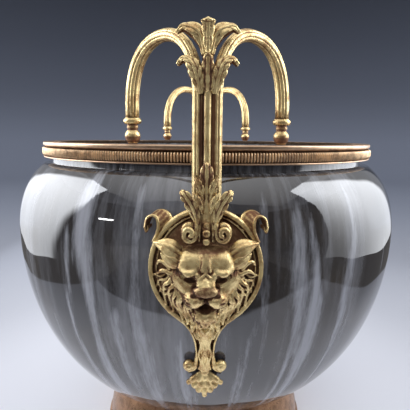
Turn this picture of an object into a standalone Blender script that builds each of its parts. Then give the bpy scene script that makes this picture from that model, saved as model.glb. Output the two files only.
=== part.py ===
"""A glazed ceramic cachepot in gilt bronze mounts.

A wide bellied bowl stands in a turned foot ring and wears a capped bronze rim. On its front
and back a lion's mask in a strapwork cartouche lies on the belly. From each mask a pair of
fluted tubes rises, bound by two calyxes of leaves, and arches out to two turned knops that
stand on the rim. The floor is at z = 0, +Z is up and the handles are on -Y and +Y.

The sizes below are in millimetres, and SCALE turns them into metres as each mesh is made.
"""
import math

import bmesh
import bpy
import numpy as np

SCALE = 0.001
GAP = 0.3

# The bowl. A drop is measured down from the top of the rim.
SEGMENTS = 40
RIM_TOP = 232.0
BELLY_RADIUS = 142.1
BELLY_DROP = 60.0
SHOULDER_REACH = 55.0
SHOULDER_POWER = 0.13
BASE_REACH = 143.0
BASE_POWER = 0.397
NECK_DROP = 15.5
LIP_RADIUS = 118.0
BASE_DROP = 191.0
WALL = 6.0
FLOOR_THICKNESS = 8.0
FLOOR_RADIUS = 66.0

# The bronze rim: a cap over the bowl's lip, above a half-round moulding and a thin fillet.
RIM_RADIUS = 124.0
RIM_INNER_RADIUS = 112.0
RIM_HEIGHT = 10.8
RIM_CAP = 2.3
CAP_EDGE = 3.9
MOULDING_RADIUS = 122.1
MOULDING_DROP = 7.0
MOULDING_BULGE = 2.9
FILLET_RADIUS = 123.6

# The bronze foot: a tall, slightly convex band on a low plinth, hollow below its ledge.
BAND_RADIUS = 79.6
BAND_CURVE = 77.0
BAND_MIDDLE = 4.0
PLINTH_RADIUS = 81.8
PLINTH_HEIGHT = 5.4
PLINTH_BEVEL = 1.4
FOOT_WALL = 4.6
LEDGE_RADIUS = 62.0
LEDGE_THICKNESS = 4.2

# The handles' tubes, bound side by side in the stem and parting into two arches. Heights are
# measured up from the top of the rim, and ARM_SLOPE is how fast an arm runs in over the rim.
STEM_DISTANCE = 145.6
STEM_SPREAD = 4.3
STEM_BOTTOM = -35.0
STEM_TOP = 24.0
CROWN_SPREAD = 21.5
CROWN_HEIGHT = 54.2
LEG_SPREAD = 41.1
LEG_TOP = 20.0
LEG_BOTTOM = 14.7
ARM_SLOPE = 0.9
ARM_LENGTH = math.hypot(1, ARM_SLOPE)
ARM_DIRECTION = (1 / ARM_LENGTH, ARM_SLOPE / ARM_LENGTH)
STEM_TUBE_RADIUS = 2.95
CROWN_TUBE_RADIUS = 3.25
LEG_TUBE_RADIUS = 3.75
FLUTES = 8
FLUTE_DEPTH = 0.16

# The lion's mask, laid out flat: across, up from its middle, and out from the glaze.
MASK_DROP = 62.7
MASK_RADIUS = 29.6
MASK_BACK = 0.6
GROUND = 1.6
STRAP = 2.5
STRAP_FACE = 3.7
MASK_OVER_BOWL = 4.4

# How finely the ornament is carved, and about how many triangles it is thinned to.
MASK_GRAIN = 0.9
LEAF_GRAIN = 0.8
MASK_FACES = 1340
LEAF_FACES = 520

GILT = (0.66, 0.47, 0.19)
RED_BRONZE = (0.36, 0.22, 0.12)
GLAZE = (0.07, 0.07, 0.075)


# ---------------------------------------------------------------- the bowl's form

def bowl_radius(drop):
    """The bowl's outer radius at a drop below the rim's top, under the neck."""
    rise = drop - BELLY_DROP
    if rise < 0:
        return BELLY_RADIUS * (1 - (rise / SHOULDER_REACH) ** 2) ** SHOULDER_POWER
    return BELLY_RADIUS * (1 - (rise / BASE_REACH) ** 2) ** BASE_POWER


def meridian():
    """Drops, radii, and the lengths along the bowl's side measured up from its belly."""
    drops = np.linspace(NECK_DROP, BASE_DROP, 500)
    radii = np.array([bowl_radius(drop) for drop in drops])
    steps = np.hypot(np.diff(drops), np.diff(radii))
    lengths = np.concatenate([[0.0], np.cumsum(steps)])
    return drops, radii, np.interp(BELLY_DROP, drops, lengths) - lengths


def wrap_on_bowl(flat):
    """Lay flat relief (across, up, out) on the front of the belly."""
    drops, radii, lengths = meridian()
    up = flat[:, 1] + np.interp(MASK_DROP, drops, lengths)
    drop = np.interp(-up, -lengths, drops)
    radius = np.interp(drop, drops, radii)
    slope = np.interp(drop, drops, np.gradient(radii, drops))
    level = 1 / np.sqrt(1 + slope ** 2)
    reach = radius + flat[:, 2] * level
    angle = flat[:, 0] / reach
    height = RIM_TOP - drop + flat[:, 2] * level * slope
    return np.stack([reach * np.sin(angle), -reach * np.cos(angle), height], axis=1)


# ---------------------------------------------------------------- meshes and objects

def material(name, colour, roughness, metallic):
    """A Principled material in one plain colour."""
    made = bpy.data.materials.new(name)
    made.use_nodes = True
    shader = made.node_tree.nodes["Principled BSDF"]
    shader.inputs["Base Color"].default_value = (*colour, 1.0)
    shader.inputs["Roughness"].default_value = roughness
    shader.inputs["Metallic"].default_value = metallic
    return made


def add_object(name, points, faces, finish):
    """Make a smooth-shaded object from points in millimetres, its faces turned outwards."""
    mesh = bpy.data.meshes.new(name)
    mesh.from_pydata([tuple(float(value) * SCALE for value in point) for point in points], [], faces)
    solid = bmesh.new()
    solid.from_mesh(mesh)
    bmesh.ops.recalc_face_normals(solid, faces=solid.faces)
    solid.to_mesh(mesh)
    solid.free()
    mesh.shade_smooth()
    mesh.set_sharp_from_angle(angle=math.radians(40))
    mesh.materials.append(material(name + "_finish", *finish))
    made = bpy.data.objects.new(name, mesh)
    bpy.context.collection.objects.link(made)
    return made


def turn(profile, segments=SEGMENTS):
    """Turn a closed profile of (radius, height) about Z. A radius of 0 is a point on the axis."""
    points = []
    rings = []
    for radius, height in profile:
        if radius == 0:
            rings.append([len(points)] * segments)
            points.append((0.0, 0.0, height))
            continue
        rings.append(list(range(len(points), len(points) + segments)))
        for step in range(segments):
            angle = math.tau * step / segments
            points.append((radius * math.cos(angle), radius * math.sin(angle), height))
    faces = []
    for here, there in zip(rings, rings[1:] + rings[:1]):
        if here[0] == here[1] and there[0] == there[1]:
            continue
        for step in range(segments):
            after = (step + 1) % segments
            corners = [here[step], here[after], there[after], there[step]]
            faces.append(list(dict.fromkeys(corners)))
    return points, faces


def arc(centre, radius, start, end, steps):
    """Points of a circular arc in a profile, from one angle in degrees to another."""
    angles = np.radians(np.linspace(start, end, steps))
    return [(centre[0] + radius * math.cos(a), centre[1] + radius * math.sin(a)) for a in angles]


# ---------------------------------------------------------------- turned pieces

def add_bowl():
    """The hollow bowl: a lip inside the rim, a short neck, a full belly and a flat base."""
    outer_drops = [NECK_DROP, 20.0, 28.0, 40.0, 60.0, 84.0, 108.0, 130.0, 150.0, 168.0, 182.0]
    outer = [(bowl_radius(drop), RIM_TOP - drop) for drop in outer_drops]
    outer.append((bowl_radius(BASE_DROP), RIM_TOP - BASE_DROP))
    inner = []
    for drop in (24.0, 38.0, 64.0, 102.0, 142.0, 174.0):
        slope = bowl_radius(drop + 0.5) - bowl_radius(drop - 0.5)
        level = 1 / math.hypot(1, slope)
        inner.append((bowl_radius(drop) - WALL * level, RIM_TOP - drop - WALL * level * slope))
    floor = RIM_TOP - BASE_DROP + FLOOR_THICKNESS
    inner_lip = RIM_INNER_RADIUS + GAP
    lip_top = RIM_TOP - RIM_CAP - GAP
    profile = [(LIP_RADIUS, lip_top), (LIP_RADIUS, RIM_TOP - RIM_HEIGHT)]
    profile += outer
    profile += [(0, RIM_TOP - BASE_DROP), (0, floor), (FLOOR_RADIUS, floor)]
    profile += inner[::-1]
    profile += [(inner_lip, RIM_TOP - NECK_DROP), (inner_lip, lip_top)]
    return add_object("bowl", *turn(profile), (GLAZE, 0.08, 0.0))


def add_rim_ring():
    """The bronze rim: a flat cap over the lip, a half-round moulding and a thin fillet."""
    skirt = LIP_RADIUS + 2 * GAP
    profile = [(RIM_INNER_RADIUS, RIM_TOP), (RIM_RADIUS, RIM_TOP), (RIM_RADIUS, RIM_TOP - CAP_EDGE)]
    profile += arc((MOULDING_RADIUS, RIM_TOP - MOULDING_DROP), MOULDING_BULGE, 70, -70, 4)
    profile += [(FILLET_RADIUS, RIM_TOP - RIM_HEIGHT), (skirt, RIM_TOP - RIM_HEIGHT)]
    profile += [(skirt, RIM_TOP - RIM_CAP), (RIM_INNER_RADIUS, RIM_TOP - RIM_CAP)]
    return add_object("rim_ring", *turn(profile), (RED_BRONZE, 0.35, 1.0))


def band_radius(height):
    """The foot's outer radius at a height above the floor, over its convex band."""
    return BAND_RADIUS - BAND_CURVE + math.sqrt(BAND_CURVE ** 2 - (height - BAND_MIDDLE) ** 2)


def add_foot_ring():
    """The bronze foot: a convex band on a plain plinth, with a ledge that carries the bowl."""
    ledge = RIM_TOP - BASE_DROP - GAP
    under_ledge = ledge - LEDGE_THICKNESS
    profile = [(LEDGE_RADIUS, ledge)]
    for height in (ledge, 30.0, 18.0, PLINTH_HEIGHT):
        profile.append((band_radius(height), height))
    profile += [(PLINTH_RADIUS, PLINTH_HEIGHT - PLINTH_BEVEL), (PLINTH_RADIUS, 0.0)]
    for height in (0.0, 18.0, under_ledge):
        profile.append((band_radius(height) - FOOT_WALL, height))
    profile.append((LEDGE_RADIUS, under_ledge))
    return add_object("foot_ring", *turn(profile), (RED_BRONZE, 0.35, 1.0))


def add_knops():
    """Four turned knops on the rim, one under each arm of the handles."""
    profile = [(0, 0.3), (2.6, 0.3), (3.0, 1.5), (4.3, 3.4), (4.3, 5.4), (3.0, 7.2), (3.1, 9.6)]
    profile += [(5.0, 11.8), (5.0, 13.8), (4.4, 14.4), (0, 14.4)]
    points, faces = turn(profile, 8)
    away = tube_distance(LEG_SPREAD)
    for name, side, end in (("front_left", -1, -1), ("front_right", 1, -1),
                            ("back_left", -1, 1), ("back_right", 1, 1)):
        knop = add_object("knop_" + name, points, faces, (GILT, 0.3, 1.0))
        knop.location = (side * LEG_SPREAD * SCALE, end * away * SCALE, RIM_TOP * SCALE)


# ---------------------------------------------------------------- fluted tubes

def tube_distance(spread):
    """How far from the bowl's axis a tube stands, where it is spread from the middle."""
    return STEM_DISTANCE - ARM_SLOPE * (spread - STEM_SPREAD)


def bezier(ends, handles, count):
    """Points of a cubic from ends[0] to ends[1], without the last one."""
    path = []
    for part in np.linspace(0, 1, count, endpoint=False):
        rest = 1 - part
        weights = (rest ** 3, 3 * rest ** 2 * part, 3 * rest * part ** 2, part ** 3)
        corners = (ends[0], handles[0], handles[1], ends[1])
        path.append(sum(weight * np.array(corner) for weight, corner in zip(weights, corners)))
    return path


def tube_path(stations):
    """The middle line of the right tube, as (spread, height), with its radius at each point."""
    stem = [np.array([STEM_SPREAD, height]) for height in np.linspace(STEM_BOTTOM, STEM_TOP, 3)[:-1]]
    foot = (STEM_SPREAD, STEM_TOP)
    crown = (CROWN_SPREAD, CROWN_HEIGHT)
    leg = (LEG_SPREAD, LEG_TOP)
    rise = bezier((foot, crown), ((STEM_SPREAD + 0.3, 40.0), (10.5, CROWN_HEIGHT)), stations)
    fall = bezier((crown, leg), ((32.0, CROWN_HEIGHT), (LEG_SPREAD, 44.0)), stations)
    path = stem + rise + fall + [np.array([LEG_SPREAD, LEG_BOTTOM])]
    radii = np.interp([point[0] for point in path], (STEM_SPREAD, CROWN_SPREAD, LEG_SPREAD),
                      (STEM_TUBE_RADIUS, CROWN_TUBE_RADIUS, LEG_TUBE_RADIUS))
    return path, radii


def sweep(path, radii, outline):
    """Carry an outline of (angle, share of the radius) along a path that turns in one plane."""
    points = []
    for place, radius, before, after in zip(path, radii, path[:1] + path[:-1], path[1:] + path[-1:]):
        ahead = np.array(after) - np.array(before)
        ahead /= np.linalg.norm(ahead)
        plane = np.array([ARM_DIRECTION[1], -ARM_DIRECTION[0], 0.0])
        side = np.cross(plane, ahead)
        for angle, share in outline:
            out = math.cos(angle) * plane + math.sin(angle) * side
            points.append(np.array(place) + radius * share * out)
    count = len(outline)
    faces = [list(range(count)), list(range(len(points) - count, len(points)))]
    for ring in range(len(path) - 1):
        for step in range(count):
            after = (step + 1) % count
            here = ring * count
            there = here + count
            faces.append([here + step, here + after, there + after, there + step])
    return points, faces


def add_tube(side):
    """One fluted tube of the front handle, from the stem over its arch to the knop."""
    path, radii = tube_path(stations=5)
    placed = [np.array([spread, -tube_distance(spread), RIM_TOP + height]) for spread, height in path]
    outline = []
    for step in range(2 * FLUTES):
        share = 1.0 if step % 2 == 0 else 1.0 - FLUTE_DEPTH
        outline.append((math.tau * step / (2 * FLUTES), share))
    points, faces = sweep(placed, radii, outline)
    points = [(side * point[0], point[1], point[2]) for point in points]
    return add_object("tube", points, faces, (GILT, 0.3, 1.0))


# ---------------------------------------------------------------- carved ornament

class Relief:
    """A distance field over one half of a symmetric ornament: (across, up, out), across >= 0."""

    def __init__(self, low, high, grain):
        self.axes = [np.arange(a + grain / 2, b, grain) for a, b in zip(low, high)]
        self.field = np.full([len(axis) for axis in self.axes], 6.0)

    def apply(self, low, high, distance, blend, carve):
        """Join a shape to the field, or cut it out, with an edge rounded over blend."""
        margin = 2.0 + blend
        cuts = tuple(slice(*np.searchsorted(axis, (a - margin, b + margin)))
                     for axis, a, b in zip(self.axes, low, high))
        places = np.meshgrid(*[axis[cut] for axis, cut in zip(self.axes, cuts)], indexing="ij")
        if min(places[0].shape) == 0:
            return
        shape = distance(np.stack(places, axis=-1))
        field = -self.field[cuts] if carve else self.field[cuts]
        mixed = np.maximum(blend - np.abs(field - shape), 0) / blend
        joined = np.minimum(field, shape) - mixed ** 2 * blend / 4
        self.field[cuts] = -joined if carve else joined

    def ball(self, centre, radii, blend=1.0, carve=False):
        """An ellipsoid with its axes along the grid."""
        centre, radii = np.array(centre), np.array(radii)

        def distance(places):
            offset = places - centre
            near = np.linalg.norm(offset / radii, axis=-1)
            steep = np.linalg.norm(offset / radii ** 2, axis=-1)
            return near * (near - 1) / np.maximum(steep, 1e-6)

        self.apply(centre - radii, centre + radii, distance, blend, carve)

    def stroke(self, points, radii, blend=0.6, carve=False, samples=5):
        """A rounded lock or vein along a smooth line through the points."""
        line, widths = smooth_line(points, radii, samples)

        def distance(places):
            nearest = np.full(places.shape[:-1], 1e3)
            for start, end, thick, thin in zip(line[:-1], line[1:], widths[:-1], widths[1:]):
                along = end - start
                part = np.clip((places - start) @ along / (along @ along), 0, 1)
                gap = np.linalg.norm(places - start - part[..., None] * along, axis=-1)
                nearest = np.minimum(nearest, gap - thick - part * (thin - thick))
            return nearest

        reach = widths.max()
        self.apply(line.min(axis=0) - reach, line.max(axis=0) + reach, distance, blend, carve)


def smooth_line(points, radii, samples):
    """Points and radii along a Catmull-Rom line through the given points."""
    knots = np.column_stack([np.array(points, float), np.broadcast_to(radii, len(points))])
    padded = np.vstack([2 * knots[0] - knots[1], knots, 2 * knots[-1] - knots[-2]])
    line = []
    for a, b, c, d in zip(padded, padded[1:], padded[2:], padded[3:]):
        for part in np.linspace(0, 1, samples, endpoint=False):
            line.append(0.5 * (2 * b + (c - a) * part + (2 * a - 5 * b + 4 * c - d) * part ** 2
                               + (3 * b - a - 3 * c + d) * part ** 3))
    line = np.array(line + [knots[-1]])
    return line[:, :3], line[:, 3]


def spread_back(mark, axes):
    """Mark also the neighbours that share a cell's corners with each marked place."""
    for axis in axes:
        mark = mark | np.roll(mark, 1, axis=axis)
    return mark


def part_sheets(field):
    """Fill the few grid corners at which the surface would touch itself along an edge or point."""
    while True:
        inside = field < 0
        filled = np.zeros_like(inside)
        for first, second in ((0, 1), (0, 2), (1, 2)):
            beside = np.roll(inside, -1, axis=first)
            above = np.roll(inside, -1, axis=second)
            across = np.roll(beside, -1, axis=second)
            crossed = (inside == across) & (beside == above) & (inside != beside)
            filled |= spread_back(crossed, (first, second))
        count = np.zeros(inside.shape, int)
        for corner in ((i, j, k) for i in (0, -1) for j in (0, -1) for k in (0, -1)):
            count += np.roll(inside, corner, axis=(0, 1, 2))
        for turn_over in ((0, 0, 0), (-1, 0, 0), (0, -1, 0), (0, 0, -1)):
            near = np.roll(inside, turn_over, axis=(0, 1, 2))
            far = np.roll(inside, tuple(-1 - part for part in turn_over), axis=(0, 1, 2))
            filled |= spread_back(((count == 2) & near & far) | ((count == 6) & ~near & ~far), (0, 1, 2))
        filled &= ~inside
        if not filled.any():
            return field
        field[filled] = -0.02


def skin(relief):
    """The closed surface of a relief and its mirror half, one point for each cell it crosses."""
    field = np.concatenate([relief.field[::-1], relief.field])
    field = part_sheets(np.pad(field, 1, constant_values=1.0))
    grain = relief.axes[1][1] - relief.axes[1][0]
    origin = np.array([-relief.axes[0][-1], relief.axes[1][0], relief.axes[2][0]]) - grain
    inside = field < 0
    corners = np.array([(i, j, k) for i in (0, 1) for j in (0, 1) for k in (0, 1)])
    size = np.array(field.shape) - 1
    count = sum(inside[i:i + size[0], j:j + size[1], k:k + size[2]].astype(int) for i, j, k in corners)
    cells = np.argwhere((count > 0) & (count < 8))
    values = np.stack([field[tuple((cells + corner).T)] for corner in corners], axis=1)
    total = np.zeros((len(cells), 3))
    crossings = np.zeros(len(cells))
    for first in range(8):
        for second in range(first + 1, 8):
            if np.abs(corners[first] - corners[second]).sum() != 1:
                continue
            crossed = (values[:, first] < 0) != (values[:, second] < 0)
            part = values[crossed, first] / (values[crossed, first] - values[crossed, second])
            total[crossed] += corners[first] + part[:, None] * (corners[second] - corners[first])
            crossings[crossed] += 1
    points = origin + grain * (cells + total / crossings[:, None])
    index = np.full(tuple(size), -1)
    index[tuple(cells.T)] = np.arange(len(cells))
    faces = []
    for axis in range(3):
        one = np.roll(inside, -1, axis=axis) != inside
        edges = np.argwhere(one)
        edges = edges[(edges[:, axis] < size[axis]) & (edges.min(axis=1) > 0)]
        next_axis = np.eye(3, dtype=int)[(axis + 1) % 3]
        last_axis = np.eye(3, dtype=int)[(axis + 2) % 3]
        around = [edges, edges - next_axis, edges - next_axis - last_axis, edges - last_axis]
        faces.append(np.stack([index[tuple(place.T)] for place in around], axis=1))
    return points, np.vstack(faces).tolist()


def add_carving(name, relief, place, target):
    """Mesh a relief, put its points in place and thin it to about so many triangles."""
    points, faces = skin(relief)
    carving = add_object(name, place(points), faces, (GILT, 0.3, 1.0))
    thin = carving.modifiers.new("thin", "DECIMATE")
    thin.ratio = target / (2 * len(faces))
    return carving


def outline_distance(outline, places):
    """Signed distance, across and up only, to a half outline of (across, up) that runs down."""
    outline = np.array(outline)
    flat = places[:, :, 0, :2]
    nearest = np.full(flat.shape[:-1], 1e3)
    for start, end in zip(outline[:-1], outline[1:]):
        along = end - start
        part = np.clip((flat - start) @ along / (along @ along), 0, 1)
        nearest = np.minimum(nearest, np.linalg.norm(flat - start - part[..., None] * along, axis=-1))
    edge = np.interp(flat[..., 1], outline[::-1, 1], outline[::-1, 0], left=-1, right=-1)
    return np.where(flat[..., 0] > edge, nearest, -nearest)[:, :, None]


def add_slab(relief, outline, back, front, width=None):
    """A flat plate with the given outline, or only a band of a given width along its edge."""
    reach = np.max(outline, axis=0)

    def distance(places):
        away = outline_distance(outline, places)
        if width:
            away = np.abs(away + width / 2) - width / 2
        return np.maximum(away, np.abs(places[..., 2] - (back + front) / 2) - (front - back) / 2)

    low = (-1.0, np.min(outline, axis=0)[1], back)
    relief.apply(np.array(low), np.array((reach[0], reach[1], front)), distance, 0.5, False)


def cartouche_outline():
    """Half of the cartouche's edge, from its crest down the round frame to the pendant's neck."""
    radius = MASK_RADIUS
    angles = np.radians(range(90, -46, -9))
    crest = [(radius * math.cos(a), 1.0 + 1.03 * radius * math.sin(a)) for a in angles]
    neck = [(15.0, -26.0), (9.6, -30.4), (6.6, -36.2), (5.0, -43.0), (4.5, -50.0), (5.2, -58.0)]
    return crest + neck


def add_frame(relief):
    """The cartouche: a sunk ground, a raised strap round it and the strap's rolled ends."""
    outline = cartouche_outline()
    add_slab(relief, outline, MASK_BACK, GROUND)
    add_slab(relief, outline, MASK_BACK, STRAP_FACE, width=STRAP)
    front = [(26.2, 17.0, 4.0), (24.6, 22.0, 5.0), (26.6, 25.6, 6.0), (29.3, 25.8, 6.6), (31.0, 20.6, 6.4)]
    back = [(22.0, 22.0, 1.6), (20.6, 26.6, 1.8), (22.8, 29.6, 2.0), (27.0, 27.8, 2.2), (29.4, 22.4, 2.2)]
    for share in (0.0, 0.33, 0.66, 1.0):
        line = [(1 - share) * np.array(a) + share * np.array(b) for a, b in zip(front, back)]
        relief.stroke(line, [1.0, 0.9, 0.9, 0.9, 0.8], blend=1.0)


def add_face(relief):
    """The lion's face: brows, sunk eyes, a broad nose, lips, an open mouth and a chin."""
    relief.ball((0.0, 1.6, 2.5), (14.5, 11.6, 8.5), 2.0)
    relief.ball((0.0, -10.0, 3.0), (10.5, 12.0, 7.0), 2.0)
    relief.ball((14.0, -1.5, 2.5), (7.0, 10.0, 6.0), 2.5)
    relief.ball((7.6, 6.6, 8.2), (5.9, 5.6, 5.2), 1.2)
    relief.stroke([(2.2, 12.0, 9.6), (2.2, 6.0, 12.0), (1.8, 0.5, 13.0)], [1.0, 1.2, 1.3], 1.0)
    relief.stroke([(0.0, 4.0, 10.5), (0.0, -1.0, 12.0), (0.0, -5.0, 13.4)], [3.0, 3.6, 4.2], 1.5)
    relief.ball((4.0, -6.4, 13.6), (2.4, 2.6, 2.8), 1.0)
    relief.ball((7.0, -1.2, 11.0), (3.6, 2.1, 3.4), 0.8, carve=True)
    relief.stroke([(3.6, 0.6, 11.0), (7.0, 2.4, 12.0), (11.6, 1.2, 9.5)], [0.8, 1.1, 0.8], 0.6)
    relief.stroke([(4.0, -3.2, 10.0), (8.0, -3.6, 10.0), (12.0, -1.0, 8.0)], [0.7, 1.0, 0.8], 0.8)
    relief.ball((5.2, -12.4, 9.0), (5.6, 5.0, 5.4), 1.2)
    relief.ball((0.0, -21.6, 7.6), (5.6, 4.2, 4.8), 1.2)
    relief.ball((0.0, -15.8, 12.0), (3.1, 2.2, 5.0), 0.8, carve=True)
    relief.stroke([(5.6, -6.0, 14.0), (5.0, -8.6, 14.2), (2.4, -9.6, 15.0)], [0.8, 0.9, 0.7], 0.5, carve=True)


def add_ear(relief):
    """A lion's ear: a pointed cup, open outwards, between the scroll and the frame."""
    relief.ball((17.8, 9.6, 3.6), (6.4, 4.6, 2.6), 1.2)
    relief.stroke([(11.6, 11.0, 7.2), (17.5, 13.6, 8.0), (25.6, 14.0, 6.0)], [1.5, 1.8, 0.7], 0.8)
    relief.stroke([(25.4, 13.6, 6.0), (22.4, 8.6, 6.4), (17.6, 4.2, 6.4)], [0.7, 1.2, 1.4], 0.8)
    relief.ball((19.4, 9.8, 7.4), (3.4, 2.6, 3.2), 0.6, carve=True)


def add_mane(relief):
    """Locks of the mane between the cheeks and the frame, and the beard under the chin."""
    locks = [
        [(17.0, 3.0, 6.2), (21.5, 0.5, 6.0), (26.0, -4.0, 3.6)],
        [(18.5, -3.0, 6.4), (23.0, -6.0, 5.6), (25.4, -10.5, 4.4), (22.6, -12.0, 5.0)],
        [(17.4, -8.0, 6.2), (20.4, -11.0, 5.8), (19.2, -15.0, 5.4), (22.0, -18.0, 3.6)],
        [(14.4, -10.5, 6.6), (16.2, -15.0, 6.2), (14.6, -19.0, 5.6), (17.4, -22.6, 4.0)],
        [(11.6, -13.0, 7.6), (12.6, -18.0, 6.8), (10.4, -22.0, 6.0), (12.4, -26.4, 4.0)],
        [(20.0, 4.0, 5.2), (23.4, 5.6, 5.2), (24.8, 2.6, 4.2)],
    ]
    for lock in locks:
        relief.stroke(lock, [1.8] + [1.6] * (len(lock) - 2) + [0.8], 0.8)
    beard = [
        [(2.0, -24.0, 8.6), (3.4, -29.0, 6.6), (1.6, -34.0, 5.2)],
        [(6.0, -22.0, 7.0), (7.4, -27.0, 5.4), (4.6, -33.0, 4.4), (3.4, -38.0, 3.6)],
    ]
    for lock in beard:
        relief.stroke(lock, [1.9] * (len(lock) - 1) + [1.1], 0.8)
    relief.ball((0.0, -28.8, 8.0), (1.7, 1.2, 3.4), 0.6, carve=True)


def add_pendant(relief):
    """Under the neck: a leafy throat, two volutes with round eyes and a palmette of lobes."""
    relief.stroke([(0.0, -36.0, 2.6), (0.0, -47.0, 2.6), (0.0, -58.0, 2.4)], [2.2, 2.4, 3.0], 1.0)
    relief.stroke([(2.6, -40.0, 2.4), (2.5, -48.0, 2.6), (3.4, -57.0, 2.6)], [0.9, 1.1, 1.3], 0.6)
    turns = [(9.0 + 3.2 * math.cos(a), -57.0 + 4.2 * math.sin(a), 2.6)
             for a in np.radians(range(70, -216, -32))]
    relief.stroke([(4.8, -50.0, 2.6), (5.2, -55.0, 2.6)], [1.2, 1.2], 0.6)
    relief.stroke(turns, 1.1, 0.5, samples=2)
    relief.ball((9.0, -56.2, 3.2), (1.9, 2.3, 1.9), 0.4)
    relief.ball((0.0, -59.4, 3.4), (2.0, 1.7, 2.4), 0.6)
    relief.stroke([(0.6, -61.0, 2.8), (1.2, -66.0, 3.4), (1.2, -71.2, 3.0)], [1.4, 2.0, 1.3], 0.5)
    relief.stroke([(2.4, -62.0, 2.4), (4.6, -67.0, 3.4), (9.2, -71.8, 2.2)], [1.3, 2.1, 0.9], 0.5)
    relief.stroke([(2.0, -68.0, 2.2), (4.0, -71.0, 2.4), (4.6, -71.8, 2.2)], [1.2, 1.3, 1.0], 0.5)
    relief.stroke([(1.6, -70.0, 1.9), (2.6, -74.0, 2.2), (3.4, -76.8, 2.6)], [1.1, 1.3, 2.1], 0.5)
    relief.stroke([(0.0, -68.0, 2.0), (0.0, -76.0, 2.0), (0.0, -82.4, 2.0)], [1.2, 1.0, 1.2], 0.5)


def add_lion_mask():
    """The front escutcheon: the lion's mask in its cartouche, with the pendant below."""
    relief = Relief((0, -86, 0), (34, 34, 20), MASK_GRAIN)
    add_frame(relief)
    add_face(relief)
    add_ear(relief)
    add_mane(relief)
    add_pendant(relief)
    relief.field = np.maximum(relief.field, MASK_BACK - relief.axes[2])
    return add_carving("lion_mask_front", relief, wrap_on_bowl, MASK_FACES)


def add_calyx(relief, side_leaf, side_widths, front_leaf, front_widths):
    """A calyx of four leaves: one at each side, and one in front of and one behind the stem."""
    relief.stroke(side_leaf, side_widths, 0.6)
    for facing in (1, -1):
        edge = [(across, up + 0.56 * facing, out + 1.6 * facing) for across, up, out in side_leaf[:-1]]
        relief.stroke(edge, 0.7 * np.array(side_widths[:-1]), 0.5)
        line = [(across, up, facing * out) for across, up, out in front_leaf]
        relief.stroke(line, front_widths, 0.6)
        edge = [(across + 2.0, up - 0.6, facing * (out - 0.5)) for across, up, out in front_leaf[:-1]]
        relief.stroke(edge, 0.65 * np.array(front_widths[:-1]), 0.5)


def add_calyxes(relief):
    """The binding calyx where the tubes part, and the finial calyx that rises between them."""
    lower_side = [(3.2, 26.0, 3.0), (5.2, 31.0, 3.4), (7.4, 36.0, 3.2), (10.4, 40.4, 2.4), (13.6, 38.4, 1.6)]
    lower_front = [(0.0, 26.0, 3.6), (0.0, 32.0, 4.2), (0.0, 37.6, 5.2), (0.0, 40.6, 7.2), (0.0, 39.0, 8.8)]
    add_calyx(relief, lower_side, [1.9, 1.9, 1.9, 1.8, 0.8], lower_front, [1.8, 1.9, 1.9, 1.6, 1.0])
    relief.stroke([(0.0, 28.0, 0.0), (0.0, 42.0, 0.0), (0.0, 50.0, 0.0)], [3.0, 2.6, 2.6], 1.0)
    upper_side = [(2.0, 43.0, 0.6), (3.0, 49.0, 0.8), (6.4, 54.6, 0.8), (10.6, 56.0, 0.8), (13.8, 54.0, 0.6)]
    upper_front = [(0.0, 43.0, 1.8), (0.0, 49.0, 2.8), (0.0, 54.4, 3.8), (0.0, 56.0, 5.6), (0.0, 54.6, 7.0)]
    add_calyx(relief, upper_side, [1.7, 1.8, 1.9, 1.8, 0.8], upper_front, [1.8, 1.9, 2.0, 1.8, 1.1])


def add_spray(relief):
    """The acanthus spray at the stem's foot, with its fronds, volutes and string of beads."""
    relief.stroke([(0.0, 28.0, 2.3), (0.0, 0.0, 2.3), (0.0, -34.0, 2.3)], 1.95, 0.5, samples=1)
    relief.stroke([(0.0, -32.0, 3.0), (0.0, -22.0, 4.0), (0.0, -13.0, 4.2), (0.0, -8.6, 4.0)],
                  [2.4, 2.5, 2.4, 0.7], 0.8)
    relief.stroke([(1.6, -16.0, 3.8), (3.0, -12.6, 3.8)], [1.3, 0.8], 0.5)
    relief.stroke([(2.0, -22.6, 3.6), (4.2, -18.6, 3.8), (5.0, -14.8, 3.2)], [1.4, 1.6, 0.8], 0.5)
    relief.stroke([(1.8, -31.0, 3.8), (4.6, -27.4, 4.2), (4.6, -23.8, 4.0)], [1.3, 1.5, 1.1], 0.5)
    relief.stroke([(3.8, -38.0, 4.0), (5.2, -32.4, 4.2), (8.2, -28.0, 3.6), (11.8, -22.6, 3.0)],
                  [1.4, 1.7, 2.0, 1.3], 0.6)
    for root, tip in (((8.0, -28.6, 3.6), (11.0, -27.0, 3.0)), ((7.0, -30.2, 3.8), (10.6, -29.8, 3.2)),
                      ((6.0, -31.8, 4.0), (9.2, -32.0, 3.4))):
        relief.stroke([root, tip], [1.2, 0.9], 0.5)
    spiral = []
    for turn_angle in range(150, 560, 30):
        share = 1.0 - 0.62 * max(0, turn_angle - 330) / 230
        angle = math.radians(turn_angle)
        spiral.append((8.2 + 3.4 * share * math.cos(angle), -42.3 + 4.3 * share * math.sin(angle), 3.6))
    relief.stroke([(3.8, -34.0, 3.8), (4.0, -37.0, 3.8), spiral[0]], 1.1, 0.5)
    relief.stroke(spiral, 1.15, 0.4, samples=2)
    relief.ball((8.2, -42.2, 1.2), (3.8, 4.6, 1.6), 0.6)
    relief.stroke([(0.0, -30.0, 1.6), (0.0, -38.0, 2.2), (0.0, -44.6, 2.6)], [3.0, 3.0, 2.2], 0.8)
    for height, radius in ((-32.7, 1.0), (-34.9, 1.2), (-38.0, 1.5), (-42.0, 2.1), (-45.6, 2.0)):
        relief.ball((0.0, height, 4.8), (radius, radius, radius), 0.3)
    relief.stroke([(3.0, -31.0, 3.4), (3.1, -38.0, 3.8), (3.4, -44.0, 3.6)], 0.9, 0.5)


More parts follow.
